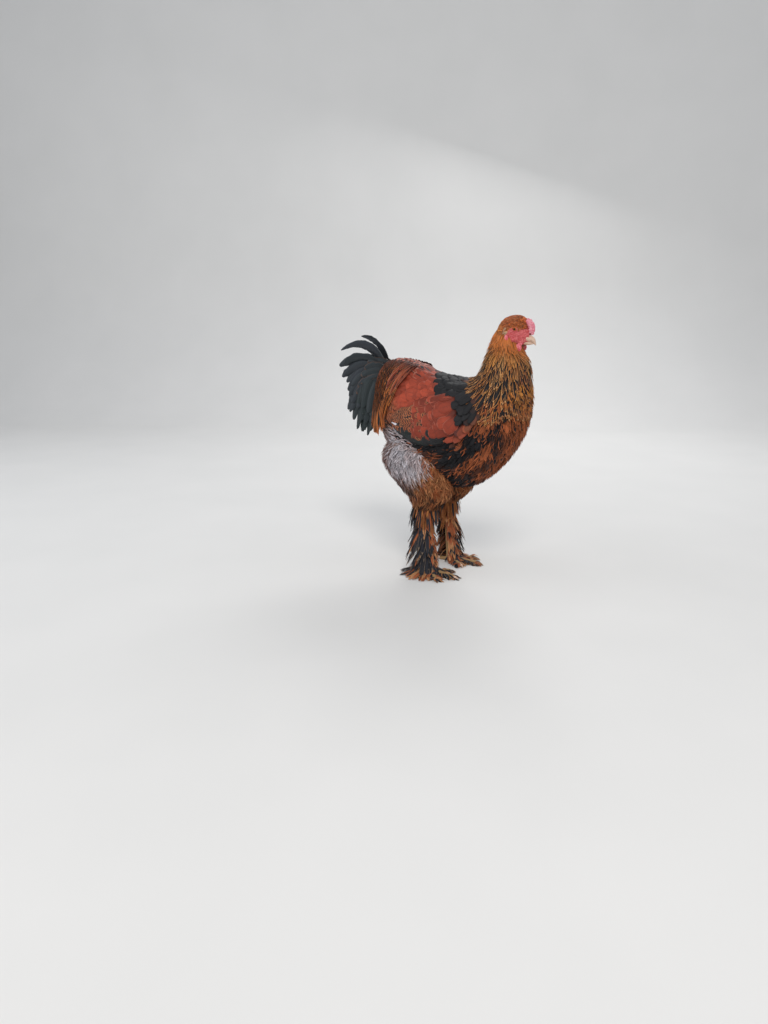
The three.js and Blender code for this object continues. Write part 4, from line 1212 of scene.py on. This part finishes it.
# Leg feathers: soft ones round the hock, then stiff dark vanes with cream edges on the outer side of the
# shank, and more over the outer toes, which spread over the floor.
def plumes(root, turn, length, slope, curl, form):
    """Free vanes, which leave their roots the way turn points, and rise and fall by slope and curl."""
    t = np.array([station[0] for station in form])[None, :]
    heading = np.stack([np.cos(turn), np.sin(turn), 0 * turn], -1)[:, None]
    at = root[:, None] + heading * (length[:, None] * t)[..., None]
    at[..., 2] += length[:, None] * (slope[:, None] * t + curl[:, None] * t * t)
    across = np.stack([-np.sin(turn), np.cos(turn), 0 * turn], -1)[:, None]
    return at, np.cross(unit(np.gradient(at, axis=1)), np.broadcast_to(across, at.shape))


def leg_vanes(coat, vary, root, turn, length, slope, curl, half, picks, rim_share, place,
              colours=(BLACK_BLUE, RUST, TAN), ribs=5):
    """Adds free vanes, each in its picked colour, with a rim towards cream."""
    at, out = plumes(root, turn, length, slope, curl, BODY_FORM)
    at[..., 2] = np.maximum(at[..., 2], 1.0)
    ground = np.array(colours)[picks] * vary.shade(0.6, 1.3)
    rim = mixed(ground, CREAM, rim_share * vary(0.2, 1))
    plan = (0.3 * vary(-1, 1).clip(0, 1), vary(0.06, 0.22), 0.25 * vary(-1, 1).clip(0, 1), 0.35)
    coat.add(ORIGIN + at * MM, out, half * MM, BODY_FORM, place, ground, rim, plan, ribs=ribs,
             seed=vary.count)


for side_name, sign in SIDES:
    vary = Draws(701 + sign, 560)
    coat = Coat(f"leg_coat_{side_name}")
    hock, ankle = HOCK * [1, sign, 1], ANKLE * [1, sign, 1]
    z, turn = vary(114, 182), vary(*ALL_ROUND)
    reach = blend(9.5, 25, smooth(z, 126, 176))
    root = np.stack([-7 + reach * np.cos(turn), sign * LEG_SPREAD + 0.85 * reach * np.sin(turn), z], -1)
    behind = (np.cos(turn) < -0.5) | (vary() < 0.3 * smooth(z, 158, 176))
    picks = np.where(behind, 1, (vary() < 0.35) * 2)
    length = vary(7, 13) * np.where(behind, 1.4, 1)
    leg_vanes(coat, vary, root, turn, length, np.full(560, -1.2), vary.about(-1.7, 0.35), vary(1.3, 2.5),
              picks, 0.15, np.stack([turn, z / 40], -1), ((0.42, 0.15, 0.045), BLACK_BLUE, RUST), ribs=3)
    vary.count = 280
    t, turn = vary(0.1, 0.93), sign * np.radians(vary(-70, 205))
    root = hock + (ankle - hock) * t[:, None] + 7 * np.stack([np.cos(turn), np.sin(turn), 0 * turn], -1)
    outward = smooth(np.cos(turn - sign * math.radians(105)), 0.1, 0.8)
    length = blend(22, 42, outward) * vary(0.8, 1.15) * blend(0.6, 1, smooth(t, 0.1, 0.3))
    picks = np.where(vary() < 0.1 + 0.75 * outward, 0, 1 + (vary() < 0.4))
    leg_vanes(coat, vary, root, turn, length, vary.about(0.1, 0.12), vary.about(-1.25, 0.2),
              vary(2.8, 5.6), picks, 0.4, np.stack([turn, t], -1))
    vary.count = 230
    spread = vary()
    turn = sign * np.radians(blend(-30, 172, spread))
    away = vary()
    root = ankle * [1, 1, 0] + np.stack([7 * np.cos(turn), 7 * np.sin(turn), blend(8, 24, away)], -1)
    length = blend(66, 36, away) * vary(0.75, 1.1) * blend(0.7, 1, smooth(spread, 0.2, 0.6))
    slope = blend(0.02, 0.34, away)
    picks = np.where(np.abs(spread - 0.55) < 0.16, 1 + (vary() < 0.6), vary() > 0.72)
    leg_vanes(coat, vary, root, turn, length, slope, -slope - blend(7, 17, away) / length,
              vary(2.8, 5.2), picks, 0.4, np.stack([turn, 1.1 + away], -1))
    for toe, vary.count, share in (("middle", 90, 0.9), ("outer", 90, 0.98), ("inner", 60, 0.85)):
        line, ahead = toe_line(toe, sign)
        along = vary(0.1, share)
        turn = np.arctan2(ahead[1], ahead[0]) + vary.turn(38)
        root = through(line, along) + [0, 0, 3]
        length = vary(14, 28)
        picks = (vary() < blend(0.25, 0.7, along)) * (1 + (vary() < 0.5))
        leg_vanes(coat, vary, root, turn, length, vary(0.1, 0.5), vary.about(-0.75, 0.12), vary(2.4, 4.6),
                  picks, 0.6, np.stack([turn / 4, 2.3 + along + len(toe) / 10], -1), ribs=3)
    coat.made(plumage, "leg_plumage")

# Short feathers of the crown, nape, cheeks and throat, and the pale bristly tuft over each ear.
s, r = scatter(skull, (0.02, 0.98), ALL_ROUND, 1.9 * MM, 81)
points = skull(s, r)
x, y, z = from_skull(points).T
under_comb = (x > 27) & (np.abs(y) < 9) & (z > -8)
before_eye = (x > 14) & (z > -4)
feathered = (bare_skin(points) < np.where(before_eye, 0.8, 0.3)) & (x < 40) & ~under_comb
s, r, x, z = s[feathered], r[feathered], x[feathered], z[feathered]
vary = Draws(801, len(s))
near_face = 1 - smooth(np.hypot(x - 14, z + 6), 19, 34)
length = blend(13, 6.5, near_face) * MM * vary(0.8, 1.2)
half = blend(1.6, 0.95, near_face) * MM * vary(0.8, 1.2)
tip, swerve = vary(0.2, 2.0) * MM, vary.turn(13)
ground = layered(
    ORANGE,
    ((0.36, 0.075, 0.025), vary()),
    (GOLD, smooth(-x, 4, 30)),
    (RUST, 0.7 * smooth(-z, 22, 32)),
    (BLACK, 0.8 * smooth(-z, 20, 29) * smooth(x, -4, 12)),
)
ground = ground * vary.shade(0.55, 1.25)
plan = (0.4 * (vary() < 0.35), vary(0.1, 0.35), 0, 0.3)
head_coat = Coat("head_coat")
head_coat.grow(skull, s, r, length, half, BODY_FORM, -SKULL_DEPTH - 0.4 * MM, tip, swerve, ground=ground,
               mark=BROWN, rim=mixed(ground, (0.66, 0.36, 0.2), 0.55 * vary()), plan=plan, seed=82)
vary.count = 46
for _, sign in SIDES:
    at = np.stack([vary.about(-6.5, 2), np.full(46, sign * 23.0), vary.about(0, 2.8)], -1)
    turn = sign * np.radians(150 + vary.about(0, 10))
    root = at + [HEAD[0], 0, HEAD[1]]
    line, _ = plumes(root, turn, vary(4, 7), vary.about(-0.3, 0.35), np.full(46, -0.4), TUFT_FORM)
    ground = mixed(PALE_GOLD, CREAM, vary()) * vary.shade(0.5, 1.1)
    outward = np.broadcast_to([0.0, sign, 0.0], line.shape)
    head_coat.add(ORIGIN + line * MM, outward, 0.7 * MM, TUFT_FORM, at[:, [0, 2]] / 40 + [sign, 0], ground,
                  CREAM, (0, 0.2, 0, 0.2), BROWN, seed=83)
head_coat.made(plumage, "head_plumage")


# Comb, wattles and earlobes: bare red flesh. The pea comb is three rows of rounded beads from the brow to
# the beak.
def flesh_paint(name, colour, pale):
    depths = (0.004, 0.0012, 0.0008)
    paint = Paint(name, Specular_IOR_Level=0.45, Subsurface_Weight=0.12, Subsurface_Radius=depths)
    at = paint.place()
    mottle, pores = paint.noise(at, 320, 3), paint.noise(at, 1600, 2)
    base = paint.mix(mottle.step(0.3, 0.72), colour, pale)
    base = paint.mix(pores.step(0.55, 0.8) * 0.4, base, tuple(c * 0.5 for c in colour))
    height = paint.bump(pores + mottle * 0.7, 0.4 * MM, 0.5)
    return paint.feed(Base_Color=base, Roughness=0.42 + mottle * 0.16, Normal=height)


def dressed(piece, material, slot, *nodes):
    piece.data.shade_smooth()
    piece.data.materials.append(material)
    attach(piece, "root")
    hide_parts(*nodes)


flesh = flesh_paint("flesh", (0.62, 0.06, 0.08), (0.82, 0.24, 0.28))
comb_flesh = flesh_paint("comb_flesh", (0.66, 0.12, 0.19), (0.86, 0.42, 0.46))
COMB = {"r": 4.8, "beads": 6, "line": [(30, 22), (37.5, 18.5), (43, 10), (44.5, 0), (42.5, -9)],
        "rows": ((0, 2.2, 0, 1), (-5.4, -1.6, 0.04, 0.92), (5.4, -1.6, 0.04, 0.92))}
comb_shapes = []
draw = np.random.default_rng(901)
for y, out_by, start, end in COMB["rows"]:
    steps = np.linspace(0, 1, 60)
    ridge = through(COMB["line"], blend(start, end, steps))
    ahead = unit(np.gradient(ridge, axis=0))
    ridge = ridge + out_by * np.stack([-ahead[:, 1], ahead[:, 0]], -1)
    line = np.array(head_at(ridge[:, 0], y + 0 * steps, ridge[:, 1])).T
    taper = np.sin(math.pi * blend(0.16, 0.86, steps)) ** 0.7
    radii = COMB["r"] * taper * (0.74 + 0.34 * np.abs(np.sin(COMB["beads"] * math.pi * steps)) ** 0.8)
    comb_shapes.append(bar_of(line, radii, 20))
    for _ in range(16):
        i = draw.integers(3, 57)
        ahead, aside = draw.uniform(0, 3.4), y * draw.uniform(0, 0.6) + draw.uniform(-1.5, 1.5)
        at = line[i] + [ahead, aside, draw.uniform(0, 3.4)]
        comb_shapes.append(ball(at, np.full(3, draw.uniform(1.2, 2.2)), rings=9, sides=12))
dressed(fused("comb_flesh", comb_shapes, 0.7 * MM, 3), comb_flesh, "bare_skin", "comb")
for side_name, sign in SIDES:
    drop = [
        ball(head_at(18.5, sign * 14.5, -37), (9.4, 3, 8.8), 25),
        ball(head_at(23, sign * 13.2, -29), (5, 2.9, 10), -30),
    ]
    wattle = fused(f"wattle_flesh_{side_name}", drop, 0.8 * MM, 4)
    place = points_of(wattle)
    x, y, z = from_skull(place).T
    place[:, 1] += sign * 0.5 * MM * np.sin(x * 1.1 + 0.5 * z) * smooth(np.abs(y), 8, 12)
    move_points(wattle, place)
    dressed(wattle, flesh, "bare_skin", f"wattle_{side_name}")
    drop = [ball(head_at(-6, sign * 24.2, -17), (4.6, 3.2, 8.4), 8)]
    lobe = fused(f"earlobe_flesh_{side_name}", drop, 0.8 * MM, 3)
    dressed(lobe, flesh, "bare_skin", f"earlobe_{side_name}")

# The eyes: an orange iris round a dark pupil, under a clear wet cornea, between swollen lids.
eye_paint = Paint("eye", Specular_IOR_Level=0.0, Coat_Weight=0.7, Coat_Roughness=0.02, Roughness=0.3)
x, y, z = eye_paint.split("ShaderNodeSeparateXYZ", eye_paint.place())
eye_x, eye_z = (ORIGIN[0] + (HEAD[0] + EYE["at"][0]) * MM), (HEAD[1] + EYE["at"][2]) * MM
spread = ((x - eye_x) ** 2 + (z - eye_z) ** 2) ** 0.5 / MM
fibres = eye_paint.noise(eye_paint.place(), 900, 2)
iris = eye_paint.mix(fibres.step(0.3, 0.7), (0.24, 0.055, 0.01), (0.5, 0.17, 0.025))
eye_colour = eye_paint.mix((2.5 - spread).step(-0.15, 0.15), iris, (0.002, 0.002, 0.002))
eye_colour = eye_paint.mix(spread.step(4.3, 4.9), eye_colour, (0.01, 0.006, 0.005))
eye_paint.feed(Base_Color=eye_colour)
for side_name, sign in SIDES:
    x, y, z = EYE["at"]
    globe = ball(head_at(x, sign * y, z), np.full(3, EYE["r"]), rings=33, sides=48)
    dressed(joined(f"eyeball_{side_name}", [globe]), eye_paint.material, "eye", f"eye_{side_name}")

# Beak and claws: horn in paler and darker layers with fine dark streaks, the upper half hooked over the
# lower.
horn = Paint("horn", Specular_IOR_Level=0.5)
at = horn.place()
layers = horn.noise(horn.scaled(at, (1, 1, 3)), 420, 3)
fine = horn.noise(horn.scaled(at, (0.4, 2, 1)), 1800, 2)
base = horn.mix(layers.step(0.35, 0.7), (0.6, 0.38, 0.26), (0.78, 0.6, 0.48))
base = horn.mix(fine.step(0.5, 0.8) * 0.5, base, (0.34, 0.16, 0.1))
horn.feed(Base_Color=base, Roughness=0.36 + layers * 0.16, Normal=horn.bump(fine + layers, 0.25 * MM, 0.4))


def eased(radii, count):
    return through([[value] for value in radii], np.linspace(0, 1, count))[:, 0]


# Each half of the beak: its line ahead and up, its radii along it, and its height as a share of its width.
BEAK = {
    "upper": (((26, -15), (39, -17), (48, -20.5), (54.5, -31.5)), (10.6, 10.4, 9.2, 6.8, 4, 0.9), 0.82),
    "lower": (((26, -26.5), (38, -27.2), (46, -27.4), (50, -28)), (8.4, 7.6, 5.8, 3.6, 1.2), 0.55),
}
for name, (line, radii, flat) in BEAK.items():
    line = [head_at(x, 0, z) for x, z in line]
    beak = joined(f"beak_horn_{name}", [bar_of(line, eased(radii, 60), 40, flat)])
    if name == "upper":
        place = points_of(beak)
        x, y, z = from_skull(place).T
        nostril = np.exp(-(((x - 40) / 3.2) ** 2) - ((z + 13) / 1.3) ** 2) * (np.abs(y) > 3)
        place[:, 1] -= np.sign(y) * 4 * MM * nostril
        move_points(beak, place)
    dressed(beak, horn.material, "horn", f"beak_{name}")
for side_name, sign in SIDES:
    for name, (_, length, r) in TOES.items():
        ahead = toe_line(name, sign)[1]
        reach = ((0.0, 5), (CLAW["length"] * 0.5, 4.8), (CLAW["length"], 1.1))
        line = [ANKLE * [1, sign, 0] + ahead * (length - 1 + d) + [0, 0, z] for d, z in reach]
        shape = bar_of(line, eased([CLAW["r"], CLAW["r"] * 0.9, CLAW["r"] * 0.62, 0.7], 24), 20)
        nail = joined(f"nail_{name}_{side_name}", [shape])
        dressed(nail, horn.material, "horn", f"claw_{name}_{side_name}")

# The studio: a pale floor that turns up into a backdrop, soft lights, and the camera where the photographer
# stood. Angles are in degrees, and the lens and its film in millimetres.
STUDIO = {"front": -4.5, "back": 3.2, "curve": 0.9, "half": 6.0, "height": 4.0}
CAMERA = {"azimuth": 29, "away": 1805 * MM, "height": 620 * MM, "pitch": 14.84, "turned": 4.38}
LENS = {"focus": 26, "film": 36}
curve, profile = STUDIO["curve"], [(STUDIO["front"], 0.0)]
for a in np.linspace(0, math.pi / 2, 24):
    profile.append((STUDIO["back"] - curve * (1 - math.sin(a)), curve * (1 - math.cos(a))))
profile.append((STUDIO["back"], STUDIO["height"]))
azimuth = math.radians(CAMERA["azimuth"])
facing = np.array([-math.sin(azimuth), math.cos(azimuth), 0])
sideways = np.array([math.cos(azimuth), math.sin(azimuth), 0]) * STUDIO["half"]
rows = [ORIGIN + facing * d + sideways * w + [0, 0, h - 0.0001] for d, h in profile for w in (-1, 1)]
i = np.arange(len(profile) - 1)[:, None] * 2
backdrop = new_mesh("backdrop", np.array(rows), [np.hstack([i, i + 1, i + 3, i + 2])])
backdrop.data.shade_smooth()
sweep = Paint("sweep", Base_Color=(0.78, 0.77, 0.75, 1), Roughness=0.9)
tone = sweep.noise(sweep.place(), 3, 2)
sweep.feed(Base_Color=sweep.mix(tone, (0.74, 0.735, 0.72), (0.8, 0.79, 0.775)))
backdrop.data.materials.append(sweep.material)


def area_light(name, at, size, power, colour=(1, 1, 1)):
    light = bpy.data.lights.new(name, "AREA")
    light.shape, light.size, light.energy, light.color = "DISK", size, power, colour
    lamp = bpy.data.objects.new(name, light)
    bpy.context.scene.collection.objects.link(lamp)
    lamp.location = at
    lamp.rotation_euler = (Vector((0, 0, 0.35)) - Vector(at)).to_track_quat("-Z", "Y").to_euler()


area_light("key", (1.5, -2.3, 2.9), 1.5, 62, (1.0, 0.97, 0.93))
area_light("fill", (-2.4, -1.6, 1.5), 2.4, 16, (0.93, 0.96, 1.0))
area_light("rim", (-0.6, 2.4, 2.4), 1.6, 36)
world = bpy.data.worlds.new("soft_room")
world.use_nodes = True
world.node_tree.nodes["Background"].inputs["Color"].default_value = (0.9, 0.94, 1.0, 1)
world.node_tree.nodes["Background"].inputs["Strength"].default_value = 0.5
bpy.context.scene.world = world

lens = bpy.data.cameras.new("camera")
lens.lens, lens.sensor_fit = LENS["focus"], "VERTICAL"
lens.sensor_width = lens.sensor_height = LENS["film"]
camera = bpy.data.objects.new("camera", lens)
bpy.context.scene.collection.objects.link(camera)
camera.location = ORIGIN - facing * CAMERA["away"] + [0, 0, CAMERA["height"]]
heading = math.atan2(facing[1], facing[0]) + math.radians(CAMERA["turned"])
camera.rotation_euler = (math.radians(90 - CAMERA["pitch"]), 0, heading - math.pi / 2)
bpy.context.scene.camera = camera
bpy.context.scene.view_settings.view_transform = "Standard"
